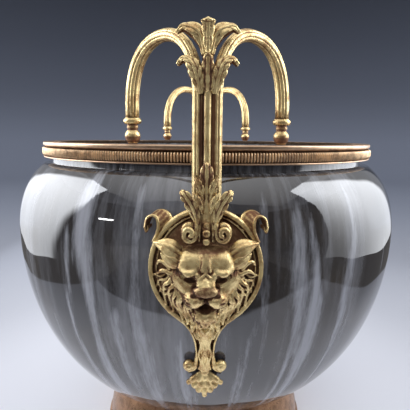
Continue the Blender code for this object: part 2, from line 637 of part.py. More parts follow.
def place_on_stem(flat):
    """Stand ornament (across, up from the rim's top, out from the stem) at the front."""
    return np.stack([flat[:, 0], -STEM_DISTANCE - flat[:, 2], RIM_TOP + flat[:, 1]], axis=1)


def trim_over_mask(relief):
    """Cut the ornament's back so that it clears the cartouche that lies on the belly."""
    across, up, out = np.meshgrid(*relief.axes, indexing="ij")
    drop = np.clip(-up, NECK_DROP, BASE_DROP)
    radius = np.interp(drop[0, :, 0], *meridian()[:2])[None, :, None]
    clearance = radius + MASK_OVER_BOWL - np.hypot(across, STEM_DISTANCE + out)
    relief.field = np.maximum(relief.field, clearance)


def freeze(made):
    """Replace an object's mesh by the one that its modifiers give."""
    graph = bpy.context.evaluated_depsgraph_get()
    mesh = bpy.data.meshes.new_from_object(made.evaluated_get(graph))
    made.modifiers.clear()
    made.data = mesh
    return made


def add_handle():
    """The front handle: its carved ornament united with the two fluted tubes."""
    relief = Relief((0, -52, -11), (17, 64, 12), LEAF_GRAIN)
    add_calyxes(relief)
    add_spray(relief)
    trim_over_mask(relief)
    handle = add_carving("handle_front", relief, place_on_stem, LEAF_FACES)
    for side in (-1, 1):
        tube = add_tube(side)
        tube.hide_render = True
        tube.display_type = "WIRE"
        union = handle.modifiers.new("tube", "BOOLEAN")
        union.operation = "UNION"
        union.object = tube
    return handle


def add_back_copy(front, name):
    """The same casting on the back of the bowl."""
    back = bpy.data.objects.new(name, front.data)
    back.rotation_euler = (0, 0, math.pi)
    bpy.context.collection.objects.link(back)


def main():
    for old in list(bpy.data.objects):
        bpy.data.objects.remove(old)
    add_bowl()
    add_rim_ring()
    add_foot_ring()
    add_knops()
    add_back_copy(freeze(add_handle()), "handle_back")
    add_back_copy(freeze(add_lion_mask()), "lion_mask_back")


if __name__ == "__main__":
    main()
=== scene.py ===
"""The looks of a glazed cachepot in gilt bronze mounts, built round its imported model.

The bowl, rim, foot and knops are turned, the handles' reeded tubes are swept, the leaves are
thin closed sheets, and the lion masks and the stems' ornament are carved as distance fields
and skinned. Sizes are in millimetres, as in the model's own source, and SCALE turns them into
metres when each mesh is made. The lights and the camera are placed in metres.
"""

import math
from itertools import product

import bmesh
import bpy
import numpy as np
from bpy.props import FloatProperty, FloatVectorProperty, IntProperty, PointerProperty
from mathutils import Euler, Matrix, Vector


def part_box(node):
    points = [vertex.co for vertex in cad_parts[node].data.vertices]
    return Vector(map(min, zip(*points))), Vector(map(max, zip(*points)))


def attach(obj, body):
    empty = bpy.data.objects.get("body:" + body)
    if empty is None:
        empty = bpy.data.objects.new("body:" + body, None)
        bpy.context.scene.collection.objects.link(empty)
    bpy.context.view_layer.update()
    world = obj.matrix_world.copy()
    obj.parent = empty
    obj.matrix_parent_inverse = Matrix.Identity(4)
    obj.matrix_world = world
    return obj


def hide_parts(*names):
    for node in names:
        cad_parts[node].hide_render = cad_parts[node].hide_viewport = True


bl_info = {
    "name": "Cachepot Looks",
    "version": (1, 0, 0),
    "blender": (4, 5, 0),
    "location": "3D View > Sidebar > Cachepot",
    "description": "Builds a glazed cachepot in gilt bronze mounts round its packed model",
    "category": "Object",
}

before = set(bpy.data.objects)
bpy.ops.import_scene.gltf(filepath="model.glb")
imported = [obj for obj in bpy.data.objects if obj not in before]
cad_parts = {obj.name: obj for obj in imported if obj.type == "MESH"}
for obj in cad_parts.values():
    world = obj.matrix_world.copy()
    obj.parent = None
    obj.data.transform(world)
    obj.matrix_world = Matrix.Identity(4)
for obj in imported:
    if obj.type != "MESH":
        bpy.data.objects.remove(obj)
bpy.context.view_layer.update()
BODY = "root"
SCALE = 0.001


def node_top(name):
    """The height of a node's top, in millimetres."""
    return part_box(name)[1][2] / SCALE


# The bowl. A drop is measured down from the top of the rim, a power says how full a curve is, and
# the inner side lies between INSIDE_DROPS.
RIM_TOP = node_top("rim_ring")
BELLY_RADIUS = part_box("bowl")[1][0] / SCALE
BELLY_DROP = 60.0
SHOULDER_REACH = 55.0
SHOULDER_POWER = 0.13
BASE_REACH = 143.0
BASE_POWER = 0.397
NECK_DROP = 15.5
BASE_DROP = 191.0
LIP_RADIUS = 118.0
WALL = 6.0
INSIDE_DROPS = (22.0, 178.0)
FLOOR_THICKNESS = 8.0
FLOOR_RINGS = (0, 15, 30, 45, 60)
FLOOR_EDGE = 70.0
GAP = 0.3

# The rim's cap and skirt, its half-round moulding and the ribs that stand round that. A rib stands
# out by RIB_DEPTH, and up and down by RIB_REACH.
RIM_HEIGHT = 10.8
RIM_INNER_RADIUS = 112.0
RIM_CAP = 2.3
MOULDING_DROP = 6.6
MOULDING_CENTRE = 121.4
MOULDING_RADIUS = 2.0
RIB_RING_RADIUS = 122.9
RIB_DEPTH = 2.0
RIB_REACH = 2.9

# The foot: a tall, slightly convex band on a low plinth.
BAND_RADIUS = 79.6
BAND_CURVE = 77.0
BAND_MIDDLE = 4.0
BAND_BOTTOM = 7.4
FOOT_WALL = 4.6
LEDGE_RADIUS = 62.0
LEDGE_THICKNESS = 4.2

# The handles' tubes, bound side by side in the stem and parting into two arches.
STEM_DISTANCE = 145.6
STEM_SPREAD = 4.3
STEM_BOTTOM = -35.0
STEM_TOP = 24.0
CROWN_SPREAD = 21.5
CROWN_HEIGHT = 54.2
LEG_SPREAD = 41.1
LEG_TOP = 20.0
LEG_BOTTOM = 14.6
ARM_SLOPE = 0.9
ARM_LENGTH = math.hypot(1, ARM_SLOPE)
ARM_DIRECTION = (1 / ARM_LENGTH, ARM_SLOPE / ARM_LENGTH)
STEM_TUBE_RADIUS = 2.95
CROWN_TUBE_RADIUS = 3.25
LEG_TUBE_RADIUS = 3.75

# A leaf's thickness in its middle, over the thickness of its edge.
LEAF_THICKNESS = 1.3
LEAF_EDGE = 0.25

# The lion's mask, laid out flat: across, up from its middle, and out from the glaze. Its round
# frame is a little taller than wide.
MASK_DROP = 62.7
MASK_RADIUS = 29.6
FRAME_MIDDLE = 1.0
FRAME_STRETCH = 1.03
MASK_BACK = 0.6
GROUND = 1.6
MASK_OVER_BOWL = 4.4

# The mane's two layers: how many locks on a side, the bearing of the first in degrees, how far
# out they stand, how often they wave, how thick they are at the root and how far they fall.
MANE_LAYERS = ((12, 24, 5.2, 1.4, 1.5, 0.55), (9, 20, 6.7, 1.7, 1.4, 0.98))

# The mask's darkened places, as (across, up, out), reaches and how dark each is: mouth, eye,
# nostril, ear, the crown of the head under the scroll, the middle of the brow, the tip of the nose
# and its wings. All but the middle of the brow are painted shade.
PAINTED_SHADE_PLACES = (((0.0, -16.4, 9.0), (3.6, 2.8, 5.0), 1.0), ((7.6, -2.6, 8.2), (3.8, 1.5, 1.9), 1.0),
                  ((5.6, -8.8, 13.2), (2.2, 1.1, 2.2), 1.0), ((17.4, 9.4, 4.4), (3.6, 2.4, 2.2), 1.0),
                  ((0.0, 14.8, 7.0), (15.0, 5.6, 9.0), 0.62), ((0.0, 6.0, 11.0), (3.2, 5.5, 4.0), 0.42),
                  ((0.0, -6.2, 15.2), (5.8, 2.8, 3.6), 0.56), ((5.9, -5.4, 11.6), (1.3, 2.6, 2.4), 0.9))
# The sunk ground's brown: partly its own tone, partly painted shade at the feet of what stands on it.
GROUND_STAIN_AND_SHADE = 0.66

# The glaze's runs at the front: their bearing in degrees, their width, the drop that they start
# at and how strongly they show. The others, further round, are drawn with a fixed seed. Widths
# are measured where the bowl has RUN_RADIUS, and a run fades out over RUN_FADE times its width.
FRONT_RUNS = ((-43, 3.0, 95, 0.55), (-34, 4.0, 40, 0.75), (-28, 6.0, 10, 0.95), (-20, 4.0, 82, 0.85),
              (-15, 7.0, 14, 0.65), (-5, 4.0, 98, 0.75), (10, 5.0, 86, 0.60), (13, 3.0, 20, 0.55),
              (21, 4.5, 24, 0.80), (25, 4.5, 30, 0.95), (36, 3.5, 16, 0.85), (53, 3.0, 50, 0.60))
RUN_SEED = 11
RUN_FADE = 1.2
RUN_RADIUS = 120.0


# ---------------------------------------------------------------- the bowl's form

def bowl_radius(drop):
    """The bowl's outer radius at a drop below the rim's top, under the neck."""
    rise = drop - BELLY_DROP
    if rise < 0:
        return BELLY_RADIUS * (1 - (rise / SHOULDER_REACH) ** 2) ** SHOULDER_POWER
    return BELLY_RADIUS * (1 - (rise / BASE_REACH) ** 2) ** BASE_POWER


def meridian():
    """Drops, radii, and the lengths along the bowl's side measured up from its belly."""
    drops = np.linspace(NECK_DROP, BASE_DROP, 500)
    radii = np.array([bowl_radius(drop) for drop in drops])
    steps = np.hypot(np.diff(drops), np.diff(radii))
    lengths = np.concatenate([[0.0], np.cumsum(steps)])
    return drops, radii, np.interp(BELLY_DROP, drops, lengths) - lengths


def wrap_on_bowl(flat):
    """Lay flat relief (across, up, out) on the front of the belly."""
    drops, radii, lengths = meridian()
    up = flat[:, 1] + np.interp(MASK_DROP, drops, lengths)
    drop = np.interp(-up, -lengths, drops)
    radius = np.interp(drop, drops, radii)
    slope = np.interp(drop, drops, np.gradient(radii, drops))
    level = 1 / np.sqrt(1 + slope ** 2)
    reach = radius + flat[:, 2] * level
    angle = flat[:, 0] / reach
    height = RIM_TOP - drop + flat[:, 2] * level * slope
    return np.stack([reach * np.sin(angle), -reach * np.cos(angle), height], axis=1)


# ---------------------------------------------------------------- meshes

def new_mesh(name, points, faces, closed=True):
    """A smooth mesh from points in millimetres; a closed one's faces are turned outwards."""
    mesh = bpy.data.meshes.new(name)
    mesh.from_pydata((np.asarray(points, float) * SCALE).tolist(), [], faces)
    if closed:
        solid = bmesh.new()
        solid.from_mesh(mesh)
        bmesh.ops.recalc_face_normals(solid, faces=solid.faces)
        solid.to_mesh(mesh)
        solid.free()
    mesh.shade_smooth()
    return mesh


def set_layers(mesh, layers):
    """Store a number or a vector for each point of a mesh, in each named layer."""
    for layer, values in layers.items():
        values = np.asarray(values, float)
        kind, field = ("FLOAT", "value") if values.ndim == 1 else ("FLOAT_VECTOR", "vector")
        mesh.attributes.new(layer, kind, "POINT").data.foreach_set(field, values.ravel())


def new_object(name, data):
    """An object that holds a mesh, a light or a camera, put into the scene."""
    made = bpy.data.objects.new(name, data)
    bpy.context.scene.collection.objects.link(made)
    return made


def add_piece(name, points, faces, finish, replaces, layers):
    """Make a smooth piece from points in millimetres that rides on the pot's body."""
    mesh = new_mesh(name, points, faces)
    set_layers(mesh, layers)
    mesh.materials.append(finish)
    piece = new_object(name, mesh)
    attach(piece, BODY)
    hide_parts(*replaces)


def add_gilt_piece(name, node, points, faces, recess):
    """Make a piece in gilt bronze that replaces one node of the model."""
    add_piece(name, points, faces, finish_named("gilt_bronze"), [node], {"recess": recess})


def turn(profile, segments):
    """Turn a closed profile of (radius, height, recess) about Z, a radius of 0 on the axis."""
    points = []
    recess = []
    rings = []
    for radius, height, depth in profile:
        if radius == 0:
            rings.append([len(points)] * segments)
            points.append((0.0, 0.0, height))
            recess.append(depth)
            continue
        rings.append(list(range(len(points), len(points) + segments)))
        for step in range(segments):
            angle = math.tau * step / segments
            points.append((radius * math.cos(angle), radius * math.sin(angle), height))
            recess.append(depth)
    faces = []
    for here, there in zip(rings, rings[1:] + rings[:1]):
        if here[0] == here[1] and there[0] == there[1]:
            continue
        for step in range(segments):
            after = (step + 1) % segments
            corners = [here[step], here[after], there[after], there[step]]
            faces.append(list(dict.fromkeys(corners)))
    return np.array(points), faces, np.array(recess)


def arc(centre, radius, start, end, steps, depth=0.0):
    """Points of a circular arc in a profile, from one angle in degrees to another."""
    angles = np.radians(np.linspace(start, end, steps))
    return [(centre[0] + radius * math.cos(a), centre[1] + radius * math.sin(a), depth) for a in angles]


def softened(corners, radius):
    """Round each corner of a closed profile of (radius, height, recess) by a small fillet."""
    result = []
    count = len(corners)
    for index, corner in enumerate(corners):
        here = np.array(corner[:2])
        before = np.array(corners[index - 1][:2]) - here
        after = np.array(corners[(index + 1) % count][:2]) - here
        reach = min(radius, 0.45 * np.linalg.norm(before), 0.45 * np.linalg.norm(after))
        if here[0] == 0 or reach < 0.01:
            result.append(corner)
            continue
        start = here + before / np.linalg.norm(before) * reach
        end = here + after / np.linalg.norm(after) * reach
        for part in (0.0, 0.5, 1.0):
            place = (1 - part) ** 2 * start + 2 * part * (1 - part) * here + part ** 2 * end
            result.append((place[0], place[1], corner[2]))
    return result


# ---------------------------------------------------------------- materials

COLOUR = "NodeSocketColor"
NUMBER = "NodeSocketFloat"


class Wiring:
    """Adds nodes to one tree. An input is given a socket to link or a plain value to hold."""

    def __init__(self, tree):
        self.tree = tree

    def fill(self, inputs, values):
        """Link a socket to each named or numbered input, or set the input to a plain value."""
        for key, value in values.items():
            if isinstance(value, bpy.types.NodeSocket):
                self.tree.links.new(value, inputs[key])
            else:
                inputs[key].default_value = value

    def add(self, kind, values=None, **settings):
        """Add a node, set its properties, then fill its inputs."""
        node = self.tree.nodes.new(kind)
        for key, value in settings.items():
            setattr(node, key, value)
        self.fill(node.inputs, values or {})
        return node

    def math(self, operation, first, second=0.0):
        """Work out one value from one or two."""
        return self.add("ShaderNodeMath", {0: first, 1: second}, operation=operation).outputs[0]

    def plus(self, first, second):
        """One value added to another."""
        return self.math("ADD", first, second)

    def times(self, first, second):
        """One value multiplied by another."""
        return self.math("MULTIPLY", first, second)

    def centred(self, noise, share):
        """A noise moved so that it swings to both sides of nought, times a share."""
        return self.times(self.math("SUBTRACT", noise, 0.5), share)

    def ramp(self, value, low, high, to_low=0.0, to_high=1.0):
        """Map a value from one range to another, smoothly and held at the ends."""
        values = {0: value, 1: low, 2: high, 3: to_low, 4: to_high}
        return self.add("ShaderNodeMapRange", values, interpolation_type="SMOOTHSTEP").outputs[0]

    def mix(self, share, first, second, blend="MIX"):
        """Mix two colours by a share."""
        values = {"Factor": share, 6: first, 7: second}
        return self.add("ShaderNodeMix", values, data_type="RGBA", blend_type=blend).outputs[2]

    def noise(self, place, scale, detail=3.0, roughness=0.5):
        """A cloudy pattern, its scale in clouds to a metre."""
        values = {"Vector": place, "Scale": scale, "Detail": detail, "Roughness": roughness}
        return self.add("ShaderNodeTexNoise", values).outputs[0]

    def drawn_out(self, place, share):
        """Places on which a pattern is drawn out in height."""
        return self.add("ShaderNodeMapping", {"Vector": place, "Scale": (1.0, 1.0, share)}).outputs[0]

    def layer(self, name, output="Fac"):
        """What the mesh stores for each of its points in a named layer."""
        return self.add("ShaderNodeAttribute", attribute_name=name).outputs[output]

    def bump(self, height, strength, distance):
        """Normals tilted by a height, over a distance in metres."""
        values = {"Height": height, "Strength": strength, "Distance": distance}
        return self.add("ShaderNodeBump", values).outputs["Normal"]


def colour(values):
    """A colour with full opacity."""
    return (*values, 1.0)


def start_group(name, inputs, outputs):
    """An empty shader node group: its tree and wiring, what is given to it and what it gives."""
    tree = bpy.data.node_groups.new(name, "ShaderNodeTree")
    for label, kind, default in inputs:
        socket = tree.interface.new_socket(label, in_out="INPUT", socket_type=kind)
        if default is not None:
            socket.default_value = default
    for label, kind in outputs:
        tree.interface.new_socket(label, in_out="OUTPUT", socket_type=kind)
    given = tree.nodes.new("NodeGroupInput").outputs
    result = tree.nodes.new("NodeGroupOutput").inputs
    return tree, Wiring(tree), given, result


def start_material(name):
    """A new material: itself, its wiring and the inputs of its shader."""
    made = bpy.data.materials.new(name)
    made.use_nodes = True
    return made, Wiring(made.node_tree), made.node_tree.nodes["Principled BSDF"].inputs


def gilding_group():
    """Gilt that is worn and stained brown in the hollows, darkened further by painted shade in the
    deepest, with a cast and chased grain.
    """
    if "Worn Gilding And Shade" in bpy.data.node_groups:
        return bpy.data.node_groups["Worn Gilding And Shade"]
    tree, wire, given, result = start_group(
        "Worn Gilding And Shade",
        (("Gilt", COLOUR, None), ("Worn", COLOUR, None), ("Stain", COLOUR, None),
         ("Recess", NUMBER, 0.0), ("Reach", NUMBER, 0.5), ("Polish", NUMBER, 0.25)),
        (("Color", COLOUR), ("Roughness", NUMBER), ("Height", NUMBER)))
    place = wire.add("ShaderNodeTexCoord").outputs["Object"]
    blotch = wire.noise(place, scale=150.0, roughness=0.6)
    speck = wire.noise(place, scale=640.0, detail=4.0, roughness=0.72)
    depth = wire.plus(given["Recess"], wire.centred(blotch, 0.50))
    depth = wire.plus(depth, wire.centred(speck, 0.70))
    low = wire.math("SUBTRACT", given["Reach"], 0.28)
    high = wire.plus(given["Reach"], 0.30)
    stain = wire.ramp(depth, low, high)
    rubbed = wire.ramp(wire.plus(blotch, wire.times(speck, 0.5)), low=0.64, high=0.96)
    tint = wire.mix(stain, wire.mix(rubbed, given["Gilt"], given["Worn"]), given["Stain"])
    # Painted shade: the deepest hollows are darkened towards near-black.
    deep_shade = wire.ramp(depth, low=0.82, high=1.06, to_high=0.80)
    tint = wire.mix(deep_shade, tint, colour((0.02, 0.010, 0.006)))
    rough = wire.plus(given["Polish"], wire.times(stain, 0.32))
    rough = wire.plus(rough, wire.times(speck, 0.12))
    height = wire.plus(wire.times(speck, 0.6), wire.times(blotch, 0.8))
    wire.fill(result, {"Color": tint, "Roughness": rough, "Height": height})
    return tree


def bronze_material(name, stain, gilt, worn, reach, polish, grain, metal):
    """A bronze whose hollows, from the recess layer, are stained, and darkened by painted shade where
    deepest.

    It is stained where a hollow is deeper than its reach, as rough as its polish says on the
    crests, and dull gilding isn't wholly mirror-like, so metal may be less than 1."""
    made, wire, shader = start_material(name)
    values = {"Gilt": colour(gilt), "Worn": colour(worn), "Stain": colour(stain),
              "Recess": wire.layer("recess"), "Reach": reach, "Polish": polish}
    group = wire.add("ShaderNodeGroup", values, node_tree=gilding_group()).outputs
    wire.fill(shader, {"Metallic": metal, "Specular IOR Level": 0.6, "Base Color": group["Color"],
                       "Roughness": group["Roughness"],
                       "Normal": wire.bump(group["Height"], strength=grain, distance=0.0007)})
    return made


def glaze_group():
    """A dark glaze with pale runs: where they lie comes from the run layers on the mesh."""
    tree, wire, given, result = start_group(
        "Running Glaze",
        (("Body", COLOUR, None), ("Warm", COLOUR, None), ("Run", COLOUR, None),
         ("Strength", NUMBER, 0.0), ("Path", "NodeSocketVector", None)),
        (("Color", COLOUR), ("Height", NUMBER)))
    path = given["Path"]
    long_path = wire.drawn_out(path, 0.045)
    broad = wire.noise(long_path, scale=55.0, roughness=0.55)
    fine = wire.noise(long_path, scale=260.0, detail=4.0, roughness=0.6)
    mottle = wire.noise(wire.drawn_out(path, 0.16), scale=420.0, detail=4.0, roughness=0.7)
    ragged = wire.plus(wire.centred(fine, 0.75), wire.centred(mottle, 0.80))
    run = wire.ramp(wire.plus(given["Strength"], ragged), low=0.20, high=0.95)
    veil = wire.ramp(wire.plus(broad, wire.times(ragged, 0.35)), low=0.44, high=0.76, to_high=0.40)
    share = wire.math("MAXIMUM", run, veil)
    warm = wire.ramp(wire.noise(path, scale=22.0, detail=2.0), low=0.40, high=0.62)
    body = wire.mix(warm, given["Body"], given["Warm"])
    wave = wire.noise(path, scale=26.0, detail=1.0, roughness=0.4)
    height = wire.plus(wire.times(share, 0.35), wire.times(broad, 1.5))
    height = wire.plus(height, wire.times(wave, 26.0))
    wire.fill(result, {"Color": wire.mix(share, body, given["Run"]), "Height": height})
    return tree


def glaze_material(colours):
    """The bowl's glossy glaze."""
    made, wire, shader = start_material("running_glaze")
    values = {"Body": colour(colours.glaze_body), "Warm": colour(colours.glaze_warm),
              "Run": colour(colours.glaze_run), "Strength": wire.layer("run_strength"),
              "Path": wire.layer("run_path", "Vector")}
    group = wire.add("ShaderNodeGroup", values, node_tree=glaze_group()).outputs
    wire.fill(shader, {"Roughness": 0.035, "IOR": 1.95, "Base Color": group["Color"],
                       "Normal": wire.bump(group["Height"], strength=0.10, distance=0.0006)})
    return made


def finish_named(kind):
    """The finish for a kind of bronze, made on first use.

    Each has its bright and its rubbed colour, its reach, polish and grain, and how metallic it is."""
    name = "worn_" + kind
    if name in bpy.data.materials:
        return bpy.data.materials[name]
    colours = bpy.context.scene.cachepot_colours
    # The foot's bronze is darker than the rim's: painted shade of the bowl that hangs over it.
    foot_worn_in_shade = [0.6 * part for part in colours.foot_bronze_in_shade]
    finishes = {
        "gilt_bronze": (colours.gilt, colours.gilt_worn, 0.43, 0.17, 0.80, 0.72),
        "red_bronze": (colours.red_bronze, colours.red_worn, 0.56, 0.26, 0.20, 0.92),
        # The ribs' bronze is a lighter copy of the rim's: painted light on the ribs.
        "rib_bronze_lit": (colours.rib_bronze_lit, colours.red_worn, 0.52, 0.26, 0.20, 0.80),
        "foot_bronze_in_shade": (colours.foot_bronze_in_shade, foot_worn_in_shade, 0.60, 0.22, 0.12, 0.92),
    }
    return bronze_material(name, colours.stain, *finishes[kind])


# ---------------------------------------------------------------- the glaze's runs

def run_layers(points):
    """How strongly each point of the bowl is run over, and its place along the runs."""
    angle = np.arctan2(points[:, 0], -points[:, 1])
    drop = RIM_TOP - points[:, 2]
    rng = np.random.default_rng(RUN_SEED)
    others = [(azimuth + rng.uniform(-3, 3), rng.uniform(2.5, 6.5), rng.choice((12, 30, 80, 100)),
               rng.uniform(0.45, 0.95)) for azimuth in range(63, 312, 8)]
    strength = np.zeros(len(points))
    for azimuth, width, start, peak in list(FRONT_RUNS) + others:
        sway = rng.uniform(0, math.tau, 3)
        wander = 0.012 * np.sin(drop / 31 + sway[0]) + 0.006 * np.sin(drop / 13 + sway[1])
        apart = (angle - math.radians(azimuth) - wander + math.pi) % math.tau - math.pi
        widening = 0.6 + 0.4 * np.clip((drop - start) / 60, 0, 1)
        spread = width * (0.75 + 0.35 * np.sin(drop / 23 + sway[2])) * widening
        across = apart * RUN_RADIUS / (RUN_FADE * spread)
        begun = np.clip((drop - start + 3.0 * np.cos(across)) / 14.0, 0, 1)
        strength = np.maximum(strength, peak * begun * np.exp(-across ** 2))
    # A pale line under the rim, a painted highlight where the neck shines, and no runs on the middle of
    # the floor.
    strength = np.maximum(strength, 0.45 * np.clip((18.5 - drop) / 3.0, 0, 1))
    radius = np.hypot(points[:, 0], points[:, 1])
    strength *= np.clip((radius - 12.0) / 50.0, 0, 1)
    reach = RUN_RADIUS * SCALE * np.clip(radius / FLOOR_EDGE, 0, 1)
    path = np.stack([reach * np.sin(angle), reach * np.cos(angle), points[:, 2] * SCALE], axis=1)
    return {"run_strength": strength, "run_path": path}


# ---------------------------------------------------------------- turned pieces

def add_bowl(sizes):
    """The hollow bowl: a lip inside the rim, a short neck, a full belly and a flat base."""
    outer = []
    for drop in np.linspace(NECK_DROP, BASE_DROP, sizes.bowl_rows):
        outer.append((bowl_radius(drop), RIM_TOP - drop, 0.0))
    inner = []
    for drop in np.linspace(*INSIDE_DROPS, 30):
        slope = bowl_radius(drop + 0.5) - bowl_radius(drop - 0.5)
        level = 1 / math.hypot(1, slope)
        inner.append((bowl_radius(drop) - WALL * level, RIM_TOP - drop - WALL * level * slope, 0.0))
    base = RIM_TOP - BASE_DROP
    floor = base + FLOOR_THICKNESS
    lip_top = RIM_TOP - RIM_CAP - GAP
    throat = RIM_INNER_RADIUS + GAP
    neck = arc((LIP_RADIUS + 1.2, RIM_TOP - NECK_DROP + 1.2), 1.2, 180, 240, 3)
    profile = [(LIP_RADIUS, lip_top, 0.0), (LIP_RADIUS, RIM_TOP - RIM_HEIGHT, 0.0)] + neck + outer
    profile += [(0, base, 0.0)] + [(radius, floor, 0.0) for radius in FLOOR_RINGS]
    profile += [(FLOOR_EDGE, floor + 2.0, 0.0)] + inner[::-1]
    profile += [(throat, RIM_TOP - NECK_DROP, 0.0), (throat, lip_top, 0.0)]
    points, faces, _ = turn(profile, sizes.segments)
    glaze = glaze_material(bpy.context.scene.cachepot_colours)
    add_piece("glazed_bowl", points, faces, glaze, ["bowl"], run_layers(points))


def add_rim_ring(sizes):
    """The bronze rim: a flat cap over the lip, a half-round moulding and a thin fillet."""
    top = RIM_TOP
    skirt = LIP_RADIUS + 2 * GAP
    corners = [(RIM_INNER_RADIUS, top, 0.2), (114.0, top, 0.1), (114.6, top - 0.3, 0.7),
               (121.6, top - 0.3, 0.3), (122.2, top, 0.0), (123.6, top, 0.0), (124.2, top - 0.6, 0.0),
               (124.1, top - 2.0, 0.1), (123.4, top - 2.8, 0.4), (122.2, top - 3.4, 0.9)]
    # The moulding behind the ribs is darkened almost wholly: painted shade in the gaps between them.
    moulding = arc((MOULDING_CENTRE, top - MOULDING_DROP), MOULDING_RADIUS, 62, -62, 9, 0.95)
    lower = [(122.4, top - 9.5, 0.9), (123.6, top - 9.7, 0.2), (124.1, top - 10.2, 0.0),
             (123.8, top - RIM_HEIGHT, 0.1), (skirt, top - RIM_HEIGHT, 0.8)]
    inner = [(skirt, top - RIM_CAP, 0.5), (RIM_INNER_RADIUS, top - RIM_CAP, 0.5)]
    profile = softened(corners, 0.4) + moulding + softened(lower, 0.3) + inner
    points, faces, recess = turn(profile, sizes.segments)
    add_piece("bronze_rim", points, faces, finish_named("red_bronze"), ["rim_ring"],
              {"recess": recess})


def rib_tree():
    """Geometry nodes that stand one rib at each point of a circle, turned to face outwards."""
    tree = bpy.data.node_groups.new("Ribs Round A Ring", "GeometryNodeTree")
    for label, kind in (("Rib", "NodeSocketObject"), ("Count", "NodeSocketInt"), ("Radius", NUMBER),
                        ("Height", NUMBER), ("Finish", "NodeSocketMaterial")):
        tree.interface.new_socket(label, in_out="INPUT", socket_type=kind)
    tree.interface.new_socket("Geometry", in_out="OUTPUT", socket_type="NodeSocketGeometry")
    given = tree.nodes.new("NodeGroupInput").outputs
    result = tree.nodes.new("NodeGroupOutput").inputs
    wire = Wiring(tree)

    def step(kind, values):
        return wire.add(kind, values).outputs[0]

    circle = step("GeometryNodeMeshCircle", {"Vertices": given["Count"], "Radius": given["Radius"]})
    rise = step("ShaderNodeCombineXYZ", {"Z": given["Height"]})
    raised = step("GeometryNodeSetPosition", {"Geometry": circle, "Offset": rise})
    turned = wire.times(wire.add("GeometryNodeInputIndex").outputs[0], math.tau)
    facing = step("ShaderNodeCombineXYZ", {"Z": wire.math("DIVIDE", turned, given["Count"])})
    rib = wire.add("GeometryNodeObjectInfo", {"Object": given["Rib"]}).outputs["Geometry"]
    stood = step("GeometryNodeInstanceOnPoints", {"Points": raised, "Instance": rib, "Rotation": facing})
    real = step("GeometryNodeRealizeInstances", {"Geometry": stood})
    finished = step("GeometryNodeSetMaterial", {"Geometry": real, "Material": given["Finish"]})
    wire.fill(result, {"Geometry": finished})
    return tree


def rib_mesh(sizes):
    """One upright rib: a small pillow, narrow across, whose recess grows towards its sides."""
    points = []
    recess = []
    rings, sides = 5, 8
    for ring in range(1, rings):
        tilt = math.pi * ring / rings
        wide = math.sin(tilt) ** 0.5
        up = RIB_REACH * math.copysign(abs(math.cos(tilt)) ** 0.7, math.cos(tilt))
        for side in range(sides):
            angle = math.tau * side / sides
            across = sizes.rib_width / 2 * wide * math.sin(angle)
            points.append((RIB_DEPTH * wide * math.cos(angle), across, up))
            # A rib darkens towards its sides: painted shade in the gaps between the ribs.
            recess.append(0.95 * abs(math.sin(angle)) ** 4)
    points += [(0, 0, RIB_REACH), (0, 0, -RIB_REACH)]
    recess += [0.9, 0.9]
    faces = []
    for ring in range(rings - 2):
        for side in range(sides):
            after = (side + 1) % sides
            here = ring * sides
            faces.append((here + side, here + sides + side, here + sides + after, here + after))
    last = (rings - 2) * sides
    for side in range(sides):
        after = (side + 1) % sides
        faces.append((len(points) - 2, side, after))
        faces.append((last + after, last + side, len(points) - 1))
    mesh = new_mesh("rib", points, faces)
    set_layers(mesh, {"recess": recess})
    return mesh


def add_rim_ribs(sizes):
    """The fine upright ribs round the rim's half-round moulding."""
    rib = new_object("rib", rib_mesh(sizes))
    ribs = new_object("rim_ribs", bpy.data.meshes.new("rim_ribs"))
    tree = rib_tree()
    modifier = ribs.modifiers.new("ribs", "NODES")
    modifier.node_group = tree
    values = {"Rib": rib, "Count": sizes.rib_count, "Radius": RIB_RING_RADIUS * SCALE,
              "Height": (RIM_TOP - MOULDING_DROP) * SCALE, "Finish": finish_named("rib_bronze_lit")}
    for item in tree.interface.items_tree:
        if item.in_out == "INPUT":
            modifier[item.identifier] = values[item.name]
    freeze(ribs)
    bpy.data.objects.remove(rib)
    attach(ribs, BODY)


def freeze(piece):
    """Replace an object's mesh by the one that its modifiers give."""
    graph = bpy.context.evaluated_depsgraph_get()
    mesh = bpy.data.meshes.new_from_object(piece.evaluated_get(graph))
    piece.modifiers.clear()
    piece.data = mesh


def band_radius(height):
    """The foot's outer radius at a height above the floor, over its convex band."""
    return BAND_RADIUS - BAND_CURVE + math.sqrt(BAND_CURVE ** 2 - (height - BAND_MIDDLE) ** 2)


def add_foot_ring(sizes):
    """The bronze foot: a convex band on a moulded plinth, with a ledge that carries the bowl."""
    ledge = RIM_TOP - BASE_DROP - GAP
    # The band darkens towards its top: painted shadow of the bowl that hangs over it.
    band = [(band_radius(height), height, float(np.interp(height, (28.0, ledge), (0.1, 0.8))))
            for height in np.linspace(ledge - 0.6, BAND_BOTTOM, 28)]
    plinth = [(band_radius(7.0) - 0.5, 6.7, 0.9), (80.3, 6.3, 0.3), (81.2, 5.6, 0.0), (81.4, 4.6, 0.0),
              (80.8, 3.9, 0.5), (80.7, 3.6, 0.9), (81.6, 3.2, 0.1), (81.8, 2.4, 0.0), (81.8, 0.4, 0.2),
              (81.4, 0.0, 0.4)]
    inner = [(band_radius(height) - FOOT_WALL, height, 0.7) for height in (0.0, 8.0, 18.0, 28.0)]
    inner += [(band_radius(ledge) - FOOT_WALL - 1.0, ledge - LEDGE_THICKNESS, 0.7)]
    inner += [(LEDGE_RADIUS, ledge - LEDGE_THICKNESS, 0.6), (LEDGE_RADIUS, ledge, 0.6)]
    profile = [(band_radius(ledge) - 0.5, ledge, 0.8)] + band + plinth + inner
    points, faces, recess = turn(profile, sizes.segments)
    add_piece("bronze_foot", points, faces, finish_named("foot_bronze_in_shade"), ["foot_ring"],
              {"recess": recess})


def tube_place(spread):
    """Where a tube stands in plan: across from the middle, and away from the bowl's axis."""
    return spread, STEM_DISTANCE - ARM_SLOPE * (spread - STEM_SPREAD)


